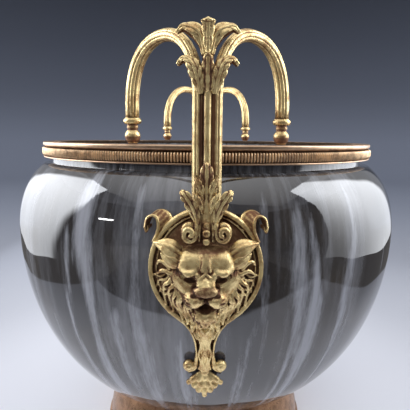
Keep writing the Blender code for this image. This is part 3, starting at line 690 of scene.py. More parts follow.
def add_knops(sizes):
    """Four turned knops on the rim, one under each arm of the handles."""
    profile = [(0, 0.3, 0.8), (2.5, 0.3, 0.8), (2.8, 0.9, 0.5), (3.0, 1.5, 0.9)]
    # The ball is darker below its middle than above it: painted shade on its underside.
    profile += arc((0, 4.4), 4.3, -42, -8, 5, 0.72) + arc((0, 4.4), 4.3, 8, 44, 5, 0.26)
    profile += [(2.9, 7.7, 0.9), (2.8, 8.3, 0.8), (3.2, 9.2, 0.35), (3.0, 10.2, 0.6), (2.8, 10.9, 0.95)]
    profile += arc((3.2, 12.6), 1.8, -70, 70, 6, 0.2) + [(4.3, 14.35, 0.7), (0, 14.35, 0.7)]
    points, faces, recess = turn(profile, 32)
    across, away = tube_place(LEG_SPREAD)
    for name, side, end in (("front_left", -1, -1), ("front_right", 1, -1),
                            ("back_left", -1, 1), ("back_right", 1, 1)):
        placed = points + np.array([side * across, end * away, RIM_TOP])
        add_gilt_piece("turned_knop_" + name, "knop_" + name, placed, faces, recess)


# ---------------------------------------------------------------- reeded tubes and leaves

def bezier(ends, handles, count):
    """Points of a cubic from ends[0] to ends[1], without the last one."""
    path = []
    for part in np.linspace(0, 1, count, endpoint=False):
        rest = 1 - part
        weights = (rest ** 3, 3 * rest ** 2 * part, 3 * rest * part ** 2, part ** 3)
        corners = (ends[0], handles[0], handles[1], ends[1])
        path.append(sum(weight * np.array(corner) for weight, corner in zip(weights, corners)))
    return path


def tube_path(stations):
    """The middle line of the right tube, as (spread, height), with its radius at each point."""
    stem = [np.array([STEM_SPREAD, height]) for height in np.linspace(STEM_BOTTOM, STEM_TOP, 9)[:-1]]
    foot = (STEM_SPREAD, STEM_TOP)
    crown = (CROWN_SPREAD, CROWN_HEIGHT)
    leg = (LEG_SPREAD, LEG_TOP)
    rise = bezier((foot, crown), ((STEM_SPREAD + 0.3, 40.0), (10.5, CROWN_HEIGHT)), stations)
    fall = bezier((crown, leg), ((32.0, CROWN_HEIGHT), (LEG_SPREAD, 44.0)), stations)
    path = stem + rise + fall + [np.array(leg), np.array([LEG_SPREAD, LEG_BOTTOM])]
    radii = np.interp([point[0] for point in path], (STEM_SPREAD, CROWN_SPREAD, LEG_SPREAD),
                      (STEM_TUBE_RADIUS, CROWN_TUBE_RADIUS, LEG_TUBE_RADIUS))
    return path, radii


def reeded_outline(reeds, depth):
    """The tube's cross-section: half-round reeds as (angle, share of the radius, recess)."""
    outline = []
    for reed in range(reeds):
        for part in (0.0, 0.1, 0.24, 0.4, 0.6, 0.76, 0.9):
            bulge = math.sqrt(max(0.0, 1 - (2 * part - 1) ** 2))
            angle = math.tau * (reed + part - 0.5) / reeds
            outline.append((angle, 1 - depth + depth * bulge, 0.8 * (1.0 - bulge)))
    return outline


def tube_mesh(side, sizes):
    """One reeded tube of the front handle, from the stem over its arch to the knop."""
    path, radii = tube_path(sizes.tube_stations)
    outline = reeded_outline(sizes.reeds, sizes.reed_depth)
    plane = np.array([ARM_DIRECTION[1], -ARM_DIRECTION[0], 0.0])
    placed = []
    for spread, height in path:
        across, away = tube_place(spread)
        placed.append(np.array([across, -away, RIM_TOP + height]))
    points = []
    recess = []
    earlier, later = placed[:1] + placed[:-1], placed[1:] + placed[-1:]
    for place, radius, before, after in zip(placed, radii, earlier, later):
        in_stem = min(1.0, max(0.0, (9.0 - place[0]) / 4.0))
        ahead = (after - before) / np.linalg.norm(after - before)
        across = np.cross(plane, ahead)
        for angle, share, depth in outline:
            away = math.cos(angle) * plane + math.sin(angle) * across
            points.append(place + radius * share * away)
            # Painted shade lies where the two tubes meet in the stem, and on their undersides.
            between = in_stem * min(0.72, max(0.0, 0.25 - 1.7 * away[0]))
            below = 0.5 * max(0.0, -away[2])
            recess.append(min(1.0, max(depth, between + below)))
    return np.array(points) * (side, 1, 1), loft(len(path), len(outline)), recess


def loft(rings, count):
    """Faces that join rings of equally many points into a closed skin with flat ends."""
    faces = [list(range(count)), list(range((rings - 1) * count, rings * count))]
    for ring in range(rings - 1):
        for step in range(count):
            after = (step + 1) % count
            here = ring * count
            faces.append([here + step, here + after, here + count + after, here + count + step])
    return faces


def join(parts):
    """Put several meshes of (points, faces, recess) together as one."""
    points, faces, recess = [], [], []
    for part_points, part_faces, part_recess in parts:
        start = sum(len(each) for each in points)
        points.append(part_points)
        faces += [[index + start for index in face] for face in part_faces]
        recess.append(part_recess)
    return np.vstack(points), faces, np.concatenate(recess)


def about(middle, reach, bearing):
    """The place (across, up) at a reach and a bearing, in radians, from a middle."""
    return middle[0] + reach * math.cos(bearing), middle[1] + reach * math.sin(bearing)


def mirrored(part, mirror=(-1, 1, 1)):
    """A part and its mirror image."""
    return [part, (part[0] * mirror, part[1], part[2])]


def unit(vectors):
    """Vectors brought to a length of one."""
    return vectors / np.maximum(np.linalg.norm(vectors, axis=-1, keepdims=True), 1e-9)


def sheet(grid, facing, thick, recess):
    """A closed sheet about a grid of points, its recess told for the side that faces outwards."""
    normals = unit(np.cross(np.gradient(grid, axis=0), np.gradient(grid, axis=1)))
    if (normals * facing).sum() < 0:
        normals = -normals
    offset = normals * np.asarray(thick)[None, :, None] / 2
    points = np.concatenate([grid + offset, (grid - offset)[:, ::-1]], axis=1)
    depth = np.concatenate([recess, np.full_like(recess, 0.7)], axis=1)
    return points.reshape(-1, 3), loft(*points.shape[:2]), depth.ravel()


def leaf(path, halves, facing, lobes, scallop=0.30, cup=0.15, stain=0.0):
    """A leaf along a line of (across, up, out), scalloped, veined and ribbed down its middle.

    Its half widths are given at the line's points, and the way that it faces at its two ends."""
    line, half = smooth_line(path, halves, 9)
    share = np.linspace(0, 1, len(line))[:, None]
    outward = (1 - share) * np.array(facing[0], float) + share * np.array(facing[1], float)
    side = unit(np.cross(np.gradient(line, axis=0), outward))
    above = unit(np.cross(side, np.gradient(line, axis=0)))
    above *= np.sign((above * outward).sum(axis=1, keepdims=True))
    across = np.linspace(-1, 1, 17)[None, :]
    from_rib = np.abs(across)
    lobe = np.abs(np.sin(math.pi * lobes * (share - 0.13 * from_rib))) ** 0.55
    reach = half[:, None] * across * (1 - scallop * (1 - lobe) * across ** 2)
    rib = np.exp(-(across / 0.14) ** 2)
    lift = half[:, None] * cup * across ** 2 + 0.4 * rib - 0.5 * (1 - lobe) * from_rib
    grid = line[:, None] + side[:, None] * reach[..., None] + above[:, None] * lift[..., None]
    # Painted shade in the trough beside the midrib and between the lobes, with the leaf's own stain added.
    hollow = 0.75 * np.exp(-((from_rib - 0.27) / 0.13) ** 2) + 1.1 * (1 - lobe) + stain
    depth = np.clip(hollow * (1 - rib) * np.clip((1 - from_rib) / 0.2, 0.15, 1), 0, 1)
    thick = LEAF_THICKNESS * (1 - across[0] ** 2) ** 0.35 + LEAF_EDGE
    return sheet(grid, outward[:, None], thick, depth)


def ribbon(front, back, facing, thick=1.1):
    """A strap between two edge lines, bright along its edges, with painted shade across its middle."""
    first, second = smooth_line(front, 1.0, 8)[0], smooth_line(back, 1.0, 8)[0]
    share = np.linspace(0, 1, 11)[None, :, None]
    grid = (1 - share) * first[:, None] + share * second[:, None]
    middle = np.abs(2 * share[0, :, 0] - 1)
    streak = 0.60 + 0.12 * np.sin(np.arange(len(grid)) * 1.1)[:, None]
    depth = np.clip((0.86 - middle) / 0.2, 0, 1)[None] * streak
    return sheet(grid, np.array(facing, float), thick * (1 - 0.35 * (middle < 0.75)), depth)


# ---------------------------------------------------------------- carved ornament

# The eight corners of a cell of the grid.
CELL_CORNERS = np.array(list(product((0, 1), repeat=3)))


def segment_distance(places, start, end):
    """How far places lie from a straight line, and the share of the line that they lie along."""
    along = end - start
    part = np.clip((places - start) @ along / (along @ along), 0, 1)
    return np.linalg.norm(places - start - part[..., None] * along, axis=-1), part


class Relief:
    """A distance field over one half of a symmetric ornament: (across, up, out), across >= 0."""

    def __init__(self, low, high, grain):
        self.axes = [np.arange(a + grain / 2, b, grain) for a, b in zip(low, high)]
        self.field = np.full([len(axis) for axis in self.axes], 6.0)

    def apply(self, low, high, distance, blend, carve):
        """Join a shape to the field, or cut it out, with an edge rounded over blend."""
        margin = 2.0 + blend
        cuts = tuple(slice(*np.searchsorted(axis, (a - margin, b + margin)))
                     for axis, a, b in zip(self.axes, low, high))
        places = np.meshgrid(*[axis[cut] for axis, cut in zip(self.axes, cuts)], indexing="ij")
        if min(places[0].shape) == 0:
            return
        shape = distance(np.stack(places, axis=-1))
        field = -self.field[cuts] if carve else self.field[cuts]
        mixed = np.maximum(blend - np.abs(field - shape), 0) / blend
        joined = np.minimum(field, shape) - mixed ** 2 * blend / 4
        self.field[cuts] = -joined if carve else joined

    def ball(self, centre, radii, blend, carve=False):
        """An ellipsoid with its axes along the grid."""
        centre, radii = np.array(centre), np.array(radii)

        def distance(places):
            offset = places - centre
            near = np.linalg.norm(offset / radii, axis=-1)
            steep = np.linalg.norm(offset / radii ** 2, axis=-1)
            return near * (near - 1) / np.maximum(steep, 1e-6)

        self.apply(centre - radii, centre + radii, distance, blend, carve)

    def stroke(self, points, radii, blend, carve=False, samples=6):
        """A rounded lock or vein along a smooth line through the points."""
        line, widths = smooth_line(points, radii, samples)

        def distance(places):
            nearest = np.full(places.shape[:-1], 1e3)
            for start, end, thick, thin in zip(line[:-1], line[1:], widths[:-1], widths[1:]):
                gap, part = segment_distance(places, start, end)
                nearest = np.minimum(nearest, gap - thick - part * (thin - thick))
            return nearest

        reach = widths.max()
        self.apply(line.min(axis=0) - reach, line.max(axis=0) + reach, distance, blend, carve)


def smooth_line(points, radii, samples):
    """Points and radii along a Catmull-Rom line through the given points."""
    knots = np.column_stack([np.array(points, float), np.broadcast_to(radii, len(points))])
    padded = np.vstack([2 * knots[0] - knots[1], knots, 2 * knots[-1] - knots[-2]])
    line = []
    for a, b, c, d in zip(padded, padded[1:], padded[2:], padded[3:]):
        for part in np.linspace(0, 1, samples, endpoint=False):
            line.append(0.5 * (2 * b + (c - a) * part + (2 * a - 5 * b + 4 * c - d) * part ** 2
                               + (3 * b - a - 3 * c + d) * part ** 3))
    line = np.array(line + [knots[-1]])
    return line[:, :3], line[:, 3]


def spread_back(mark, axes):
    """Mark also the neighbours that share a cell's corners with each marked place."""
    for axis in axes:
        mark = mark | np.roll(mark, 1, axis=axis)
    return mark


def part_sheets(field):
    """Fill the few grid corners at which the surface would touch itself along an edge or point."""
    while True:
        inside = field < 0
        filled = np.zeros_like(inside)
        for first, second in ((0, 1), (0, 2), (1, 2)):
            beside = np.roll(inside, -1, axis=first)
            above = np.roll(inside, -1, axis=second)
            across = np.roll(beside, -1, axis=second)
            crossed = (inside == across) & (beside == above) & (inside != beside)
            filled |= spread_back(crossed, (first, second))
        count = np.zeros(inside.shape, int)
        for corner in CELL_CORNERS:
            count += np.roll(inside, tuple(-corner), axis=(0, 1, 2))
        for turn_over in ((0, 0, 0), (-1, 0, 0), (0, -1, 0), (0, 0, -1)):
            near = np.roll(inside, turn_over, axis=(0, 1, 2))
            far = np.roll(inside, tuple(-1 - part for part in turn_over), axis=(0, 1, 2))
            filled |= spread_back(((count == 2) & near & far) | ((count == 6) & ~near & ~far), (0, 1, 2))
        filled &= ~inside
        if not filled.any():
            return field
        field[filled] = -0.02


def skin(relief):
    """The closed surface of a relief and its mirror half, one point for each cell it crosses."""
    field = np.concatenate([relief.field[::-1], relief.field])
    field = part_sheets(np.pad(field, 1, constant_values=1.0))
    grain = relief.axes[1][1] - relief.axes[1][0]
    origin = np.array([-relief.axes[0][-1], relief.axes[1][0], relief.axes[2][0]]) - grain
    inside = field < 0
    corners = CELL_CORNERS
    size = np.array(field.shape) - 1
    count = sum(inside[i:i + size[0], j:j + size[1], k:k + size[2]].astype(int) for i, j, k in corners)
    cells = np.argwhere((count > 0) & (count < 8))
    values = np.stack([field[tuple((cells + corner).T)] for corner in corners], axis=1)
    total = np.zeros((len(cells), 3))
    crossings = np.zeros(len(cells))
    for first in range(8):
        for second in range(first + 1, 8):
            if np.abs(corners[first] - corners[second]).sum() != 1:
                continue
            crossed = (values[:, first] < 0) != (values[:, second] < 0)
            part = values[crossed, first] / (values[crossed, first] - values[crossed, second])
            total[crossed] += corners[first] + part[:, None] * (corners[second] - corners[first])
            crossings[crossed] += 1
    points = origin + grain * (cells + total / crossings[:, None])
    index = np.full(tuple(size), -1)
    index[tuple(cells.T)] = np.arange(len(cells))
    faces = []
    for axis in range(3):
        one = np.roll(inside, -1, axis=axis) != inside
        edges = np.argwhere(one)
        edges = edges[(edges[:, axis] < size[axis]) & (edges.min(axis=1) > 0)]
        next_axis = np.eye(3, dtype=int)[(axis + 1) % 3]
        last_axis = np.eye(3, dtype=int)[(axis + 2) % 3]
        around = [edges, edges - next_axis, edges - next_axis - last_axis, edges - last_axis]
        faces.append(np.stack([index[tuple(place.T)] for place in around], axis=1))
    return points, np.vstack(faces).tolist()


def folded(points):
    """Points on both sides of an ornament's middle, brought over to the right."""
    return np.column_stack([np.abs(points[:, 0]), points[:, 1:]])


def look_up(relief, places):
    """The field of a relief at places on either side of its middle, between grid points."""
    grain = relief.axes[0][1] - relief.axes[0][0]
    start = np.array([axis[0] for axis in relief.axes])
    spots = np.clip((folded(places) - start) / grain, 0, np.array(relief.field.shape) - 1.001)
    low = np.floor(spots).astype(int)
    part = spots - low
    total = np.zeros(len(places))
    for corner in CELL_CORNERS:
        share = np.prod(np.where(corner, part, 1 - part), axis=1)
        total += share * relief.field[tuple((low + corner).T)]
    return total


def hollow_depth(relief, points, faces):
    """How far each point of a skin lies in a hollow, from 0 on a crest to 1 in a deep groove."""
    faces = np.array(faces)
    corners = points[faces]
    normals = np.cross(corners[:, 2] - corners[:, 0], corners[:, 3] - corners[:, 1])
    outward = np.zeros_like(points)
    for corner in range(4):
        np.add.at(outward, faces[:, corner], normals)
    outward = unit(outward)
    nearer = look_up(relief, points + 0.5 * outward) < look_up(relief, points - 0.5 * outward)
    if nearer.mean() > 0.5:
        outward = -outward
    total = np.zeros(len(points))
    for reach, weight in ((0.5, 0.35), (1.0, 0.35), (1.9, 0.30)):
        total += weight * (1 - look_up(relief, points + reach * outward) / reach)
    return np.clip(1.5 * total, 0, 1)


def outline_distance(outline, places):
    """Signed distance, across and up only, to a half outline of (across, up) that runs down."""
    outline = np.array(outline)
    flat = places[:, :, 0, :2]
    nearest = np.full(flat.shape[:-1], 1e3)
    for start, end in zip(outline[:-1], outline[1:]):
        nearest = np.minimum(nearest, segment_distance(flat, start, end)[0])
    edge = np.interp(flat[..., 1], outline[::-1, 1], outline[::-1, 0], left=-1, right=-1)
    return np.where(flat[..., 0] > edge, nearest, -nearest)[:, :, None]


def add_slab(relief, outline, back, front, width=None):
    """A flat plate with the given outline, or only a band of a given width along its edge."""
    reach = np.max(outline, axis=0)

    def distance(places):
        away = outline_distance(outline, places)
        if width:
            away = np.abs(away + width / 2) - width / 2
        return np.maximum(away, np.abs(places[..., 2] - (back + front) / 2) - (front - back) / 2)

    low = (-1.0, np.min(outline, axis=0)[1], back)
    relief.apply(np.array(low), np.array((reach[0], reach[1], front)), distance, 0.5, False)


def cartouche_outline():
    """Half of the cartouche's edge, from its crest down the round frame to the pendant's neck."""
    crest = []
    for angle in np.radians(range(90, -41, -5)):
        up = FRAME_MIDDLE + FRAME_STRETCH * MASK_RADIUS * math.sin(angle)
        crest.append((MASK_RADIUS * math.cos(angle), up))
    neck = [(19.2, -22.6), (15.0, -26.0), (11.2, -29.0), (8.6, -32.4), (6.8, -36.2), (5.6, -40.5),
            (5.0, -46.0), (4.7, -52.0), (5.2, -58.0)]
    return crest + neck


def add_frame(relief):
    """The cartouche: a sunk ground, a broad bright band round it and a thin line inside the band."""
    outline = cartouche_outline()
    add_slab(relief, outline, MASK_BACK, GROUND)
    add_slab(relief, outline, MASK_BACK, 4.0, width=1.0)
    middle = [(across * 0.955 - 0.15, FRAME_MIDDLE + (up - FRAME_MIDDLE) * 0.955, 3.1)
              for across, up in outline[:-6]]
    shares = np.linspace(0, 1, len(middle))
    relief.stroke(middle, 1.55 - 0.75 * np.clip(2.2 * shares - 0.5, 0, 1), 0.4, samples=1)
    inner = [(across * 0.87 - 0.3, FRAME_MIDDLE + (up - FRAME_MIDDLE) * 0.88, 2.5)
             for across, up in outline[3:-8]]
    relief.stroke(inner, 0.6, 0.3, samples=1)


def strap_ends():
    """The two rolled strap ends that stand out above the frame's shoulders."""
    front = [(27.4, 14.0, 4.2), (25.4, 18.0, 5.4), (24.6, 22.0, 6.6), (25.6, 25.2, 7.4),
             (28.0, 25.8, 7.6), (30.2, 24.4, 7.2), (31.2, 20.4, 6.6)]
    back = [(17.6, 22.0, 1.6), (17.4, 25.4, 1.8), (18.8, 28.4, 2.0), (21.6, 29.8, 2.2),
            (24.8, 29.4, 2.4), (27.4, 27.2, 2.6), (29.2, 23.4, 2.8)]
    curl = [(31.2, 20.4, 6.6), (30.6, 18.6, 6.2), (29.6, 19.6, 6.0), (29.8, 21.4, 6.0)]
    behind = [(29.2, 23.4, 2.8), (28.8, 21.6, 2.6), (28.2, 21.8, 2.6), (28.2, 23.0, 2.6)]
    strap = ribbon(front, back, (0.2, 0.9, 0.4))
    return mirrored(strap) + mirrored(ribbon(curl, behind, (1.0, 0.0, 0.2), thick=0.9))


def add_face(relief):
    """The lion's face: heavy brows, sunk eyes, a broad nose, lips, an open mouth and a chin."""
    # The skull, the muzzle and the cheeks.
    relief.ball((0.0, 3.6, 3.0), (14.2, 9.6, 8.4), 1.5)
    relief.ball((0.0, -10.5, 3.0), (10.6, 11.8, 7.2), 2.0)
    relief.ball((12.2, -1.5, 2.5), (6.4, 9.0, 7.2), 2.5)
    relief.ball((8.6, -7.0, 4.4), (5.6, 5.4, 5.8), 2.0)
    # The brows, and the frown between them.
    relief.stroke([(0.0, 9.0, 8.2), (0.0, 5.8, 9.8), (0.0, 3.0, 10.4)], [3.0, 2.8, 2.3], 2.8)
    relief.ball((8.7, 5.2, 5.6), (5.6, 6.4, 6.3), 3.2)
    relief.stroke([(4.8, 2.4, 11.2), (8.8, 1.4, 12.0), (12.6, 3.2, 9.6)], [1.2, 1.7, 1.2], 1.2)
    relief.stroke([(4.0, 7.2, 12.8), (3.8, 4.8, 13.5), (4.2, 2.8, 13.6)], [0.3, 0.6, 0.6], 1.6, carve=True)
    relief.stroke([(1.5, 7.8, 11.6), (1.5, 5.4, 12.5), (2.0, 3.0, 12.6)], [0.4, 0.7, 0.9], 0.5)
    relief.stroke([(0.0, 7.4, 13.8), (0.0, 5.0, 13.8), (0.0, 2.8, 13.8)], [0.5, 0.8, 0.9], 0.5, carve=True)
    # The eye's socket, the eye, its lower lid and its inner corner.
    relief.stroke([(4.8, -2.2, 11.0), (7.6, -2.2, 10.6), (11.6, -0.4, 9.8)], [1.5, 2.2, 1.2], 0.4,
                  carve=True)
    relief.ball((7.8, -2.0, 6.6), (1.8, 1.1, 1.5), 0.3)
    relief.stroke([(4.6, -4.6, 9.4), (7.8, -5.0, 9.8), (11.6, -2.6, 8.6)], [0.6, 0.75, 0.5], 0.6)
    relief.stroke([(3.0, 1.0, 11.6), (4.4, 0.8, 12.2), (4.8, -0.6, 11.6)], [0.9, 1.1, 0.7], 0.4)
    # The nose: its sides, its bridge, a wrinkle across it, its tip and wings, and the tip's furrow.
    relief.stroke([(2.5, 1.2, 10.4), (2.7, -2.2, 12.0), (2.6, -5.4, 14.0)], [1.4, 2.0, 2.1], 1.0)
    relief.stroke([(0.0, 1.0, 10.2), (0.0, -2.2, 12.4), (0.0, -5.6, 14.4)], [1.4, 2.2, 2.5], 0.8)
    relief.stroke([(0.0, 2.0, 12.7), (2.0, 0.2, 13.1), (4.2, -1.6, 12.0)], [0.6, 0.65, 0.45], 0.6)
    relief.stroke([(0.0, -6.8, 14.9), (3.4, -6.6, 14.3), (5.2, -6.2, 12.6)], [2.1, 1.9, 1.3], 0.5)
    relief.stroke([(0.0, -4.3, 17.0), (2.4, -4.4, 16.4), (4.6, -4.0, 14.4)], 0.38, 0.4, carve=True)
    # The upper lip, the furrow round it, its cleft and the furrows that the whiskers grow from.
    relief.ball((5.6, -12.0, 8.0), (5.8, 4.8, 6.2), 2.4)
    relief.ball((2.8, -11.4, 9.6), (2.6, 2.8, 5.0), 1.2)
    relief.stroke([(7.6, -4.4, 12.0), (7.2, -7.2, 13.0), (5.0, -9.4, 14.8), (2.2, -9.8, 16.0)],
                  [0.6, 1.3, 1.5, 0.9], 0.3, carve=True)
    relief.stroke([(0.0, -9.6, 15.8), (0.0, -13.6, 14.4)], [0.8, 0.7], 0.4, carve=True)
    for row in range(3):
        whisker = [(3.4 + 0.3 * row, -10.9 - 0.9 * row, 16.4 - 0.4 * row),
                   (6.0, -11.2 - 1.5 * row, 15.4 - 0.5 * row),
                   (9.4, -10.8 - 2.0 * row, 12.4 - 0.3 * row)]
        relief.stroke(whisker, [0.25, 0.5, 0.4], 0.4, carve=True, samples=4)
    # The chin, the open mouth and the lower lip.
    relief.ball((0.0, -21.4, 6.6), (6.6, 4.6, 4.8), 1.2)
    relief.ball((0.0, -16.6, 12.2), (3.9, 3.0, 7.6), 0.8, carve=True)
    relief.stroke([(0.0, -20.2, 9.8), (3.0, -19.6, 9.6), (5.2, -17.6, 8.6)], [0.8, 0.8, 0.6], 0.5)
    # The fur that fans out over the cheek.
    for fan in range(5):
        turned = math.radians(24 - 17 * fan)
        fur = [(*about((10.0, -3.4), reach, turned + 0.012 * reach * reach), 10.6 - 0.045 * reach * reach)
               for reach in (2.6, 4.6, 6.6, 8.6)]
        relief.stroke(fur, [0.3, 0.55, 0.6, 0.5], 0.5, carve=True, samples=3)


def add_ear(relief):
    """A lion's ear: a hollow between two lobes, and wisps of hair under it."""
    relief.ball((15.4, 7.6, 2.5), (5.0, 6.0, 3.4), 1.2)
    relief.ball((17.8, 9.6, 7.2), (4.0, 2.6, 4.4), 0.5, carve=True)
    relief.stroke([(18.2, 2.2, 6.6), (20.8, 4.6, 6.6), (23.4, 5.4, 6.0), (24.9, 3.4, 5.4)],
                  [0.9, 0.9, 0.8, 0.5], 0.3)
    relief.stroke([(17.6, -0.4, 6.6), (21.4, 0.8, 5.8), (25.2, -1.6, 4.6)], [1.2, 1.2, 0.4], 0.4)


def ear_leaves():
    """The ears' two lobes, which spread like leaves towards the frame."""
    upper = leaf([(12.0, 9.0, 6.6), (16.2, 11.8, 8.6), (20.8, 13.2, 8.0), (26.2, 13.8, 5.8)],
                 [2.4, 4.2, 3.5, 0.4], ((0, 0.5, 1), (0.2, 0.4, 1)),
                 lobes=1, scallop=0.0, cup=-0.1, stain=-0.3)
    lower = leaf([(12.4, 4.0, 7.6), (15.6, 4.8, 8.2), (18.8, 6.6, 7.8), (22.4, 9.2, 6.0)],
                 [1.4, 2.9, 2.9, 0.8], ((0, -0.3, 1), (0.2, 0, 1)),
                 lobes=1, scallop=0.0, cup=-0.1, stain=-0.1)
    return mirrored(upper) + mirrored(lower)


def add_mane(relief):
    """Wavy locks in two layers that fall out and down from the cheeks and chin to the frame."""
    relief.ball((0.0, -9.0, 0.6), (24.0, 16.0, 5.8), 1.5)
    edge = np.array(cartouche_outline())[::-1] + (0.0, 3.0)
    bearings = np.arctan2(edge[:, 1], edge[:, 0])
    limits = np.hypot(edge[:, 0], edge[:, 1])
    for count, first, height, waves, root, fall in MANE_LAYERS:
        for strand in range(count):
            start = math.radians(first - 92 * strand / (count - 1))
            phase = 0.35 * strand + 1.1 * (strand % 3 == 1) + height
            path = []
            for part in np.linspace(0, 1, 11):
                wave = math.tau * waves * part + phase
                sway = (0.045 + 0.035 * part) * math.sin(wave)
                turned = start - fall * part * math.cos(start) ** 1.5 + sway
                end = np.interp(turned, bearings, limits) - 2.8
                reach = min(12.6, end - 6.0) * (1 - part) + end * part
                lift = height - 2.6 * part + 0.7 * math.cos(wave)
                path.append((*about((0.0, -3.0), reach, turned), lift))
            relief.stroke(path, np.linspace(root, 0.65, 11), 0.15, samples=3)


def add_beard(relief):
    """Wavy locks under the chin that run together down into the pendant's neck."""
    for across, top, sway, depth in ((1.1, -22.6, 0.0, 0.4), (3.3, -21.8, 1.1, 0.2),
                                     (5.3, -20.6, 2.4, -0.3), (7.0, -19.0, 3.5, -0.8)):
        path = []
        for part in np.linspace(0, 1, 10):
            up = top + part * (-39.6 + 1.2 * across - top)
            narrow = 1 - 0.62 * part
            wave = 0.85 * math.sin(math.tau * 2.6 * part + sway)
            out = 9.8 + depth - 5.0 * part ** 0.8 - 0.05 * across ** 2
            path.append((max(0.4, (across + wave) * narrow + 0.2), up, out))
        relief.stroke(path, np.linspace(1.15, 0.75, 10), 0.2, samples=3)
    relief.ball((0.0, -28.9, 8.8), (1.9, 1.2, 3.4), 0.5, carve=True)


def add_pendant(relief):
    """Under the neck: a leafy throat, two rolled volutes and a palmette of plump lobes."""
    relief.stroke([(0.0, -30.0, 3.0), (0.0, -47.0, 2.6), (0.0, -58.0, 2.4)], [3.6, 2.9, 3.4], 1.0)
    for across, turned in ((0.9, 0.4), (2.7, 2.0)):
        lock = [(across + 0.55 * math.sin(math.tau * 1.8 * part + turned), -36.0 - 21.0 * part,
                 5.8 - 0.3 * across) for part in np.linspace(0, 1, 10)]
        relief.stroke(lock, 0.62, 0.2, samples=3)
    # The volute: the band that leads to it, its boss and the spiral groove in the boss.
    relief.stroke([(4.2, -47.0, 2.6), (4.8, -53.0, 3.0), (5.8, -58.0, 3.2), (8.6, -60.0, 3.2)],
                  [0.8, 1.1, 1.4, 1.3], 0.4)
    relief.ball((8.7, -56.6, 3.0), (3.3, 3.5, 3.0), 0.4)
    spiral = [(*about((8.7, -56.6), reach, bearing), 5.9 - 0.12 * reach * reach)
              for bearing, reach in zip(np.radians(range(250, 701, 45)), np.linspace(2.6, 0.9, 11))]
    relief.stroke(spiral, 0.42, 0.2, carve=True, samples=3)
    # The palmette: a stalk and its lobes, as (across, up, radius).
    relief.ball((0.0, -59.6, 4.2), (1.9, 1.4, 2.2), 0.4)
    relief.stroke([(0.0, -58.0, 1.8), (0.0, -66.0, 1.6), (0.0, -77.0, 1.2)], [2.2, 2.6, 1.4], 0.8)
    for across, up, radius in ((0.0, -65.6, 1.7), (3.2, -66.4, 1.9), (6.6, -67.0, 1.8),
                               (8.9, -69.6, 1.4), (1.7, -71.4, 2.0), (5.4, -71.6, 2.1),
                               (3.2, -76.0, 1.9), (0.0, -77.6, 1.9), (0.0, -81.6, 1.4)):
        relief.stroke([(0.35 * across, up + 4.4, 2.2), (0.75 * across, up + 1.8, 3.2), (across, up, 3.6)],
                      [0.5 * radius, 0.8 * radius, 1.08 * radius], 0.12)


def calyx_leaves():
    """The binding calyx where the tubes part, and the finial calyx that rises between them."""
    low_side = leaf([(3.3, 24.4, 3.2), (4.2, 28.6, 4.4), (5.4, 33.0, 5.0), (6.8, 37.0, 4.6),
                     (9.4, 39.8, 3.4), (12.0, 40.0, 2.4), (14.0, 37.6, 1.8)],
                    [1.4, 2.5, 3.2, 3.3, 2.3, 1.7, 0.6], ((0.2, 0, 1), (0.2, 1.0, 0.7)),
                    lobes=6, scallop=0.35)
    low_front = leaf([(0, 25.4, 3.4), (0, 28.4, 4.8), (0, 32.6, 5.4), (0, 37.0, 5.6), (0, 40.6, 6.4),
                      (0, 41.4, 7.6)],
                     [1.5, 3.4, 3.9, 3.0, 1.9, 0.6], ((0, 0, 1), (0, 1, 0.5)),
                     lobes=5, cup=-0.30, stain=0.3)
    top_side = leaf([(1.4, 42.2, 1.8), (2.2, 46.6, 2.6), (3.4, 50.0, 3.0), (5.4, 52.6, 2.8),
                     (8.4, 54.0, 2.2), (11.6, 54.4, 1.6), (14.4, 52.2, 0.8)],
                    [1.6, 2.3, 3.0, 3.4, 2.9, 2.1, 0.7], ((0.3, 0, 1), (0.1, 0.8, 0.8)),
                    lobes=3, scallop=0.14, stain=-0.4)
    top_front = leaf([(0, 42.6, 3.6), (0, 46.6, 4.6), (0, 50.6, 5.0), (0, 54.2, 5.4), (0, 56.4, 6.4),
                      (0, 55.8, 7.6)],
                     [1.2, 2.2, 2.8, 3.2, 3.2, 1.6], ((0, 0, 1), (0, 1, 0.3)),
                     lobes=4, cup=-0.15, stain=-0.2)
    parts = mirrored(low_side) + [low_front] + mirrored(top_side) + [top_front]
    return parts + [mirrored(part, (1, 1, -1))[1] for part in parts]


def spray_leaves():
    """The acanthus at the stem's foot: a middle leaf, four leaflets and two curling fronds."""
    middle = leaf([(0, -34.0, 3.4), (0, -27.0, 4.6), (0, -20.0, 5.2), (0, -13.4, 5.6), (0, -9.6, 5.2),
                   (0, -7.6, 4.6)],
                  [1.2, 2.0, 2.6, 3.5, 2.4, 0.3], ((0, 0, 1), (0, 0, 1)),
                  lobes=4, scallop=0.2, cup=-0.2, stain=0.38)
    upper = leaf([(1.6, -25.0, 4.8), (3.0, -20.0, 5.8), (4.4, -16.6, 5.6), (5.2, -14.0, 4.8)],
                 [0.9, 2.1, 1.8, 0.5], ((0.2, 0, 1), (0.4, 0, 1)), lobes=3, stain=0.15)
    lower = leaf([(1.9, -32.0, 5.0), (3.4, -28.0, 6.0), (4.6, -24.6, 6.2), (5.4, -22.4, 5.4)],
                 [0.9, 2.0, 1.8, 0.7], ((0.3, 0, 1), (0.5, 0, 1)), lobes=3, stain=0.15)
    frond = leaf([(3.9, -40.0, 4.2), (4.8, -34.6, 5.2), (6.2, -30.0, 5.8), (8.4, -26.0, 5.8),
                  (10.6, -23.0, 5.6), (12.2, -21.6, 4.2)],
                 [1.0, 2.1, 3.2, 3.2, 2.6, 1.2], ((0.3, 0, 1), (0.5, 0.3, 1)),
                 lobes=4, scallop=0.42, stain=0.22)
    return [middle] + mirrored(upper) + mirrored(lower) + mirrored(frond)


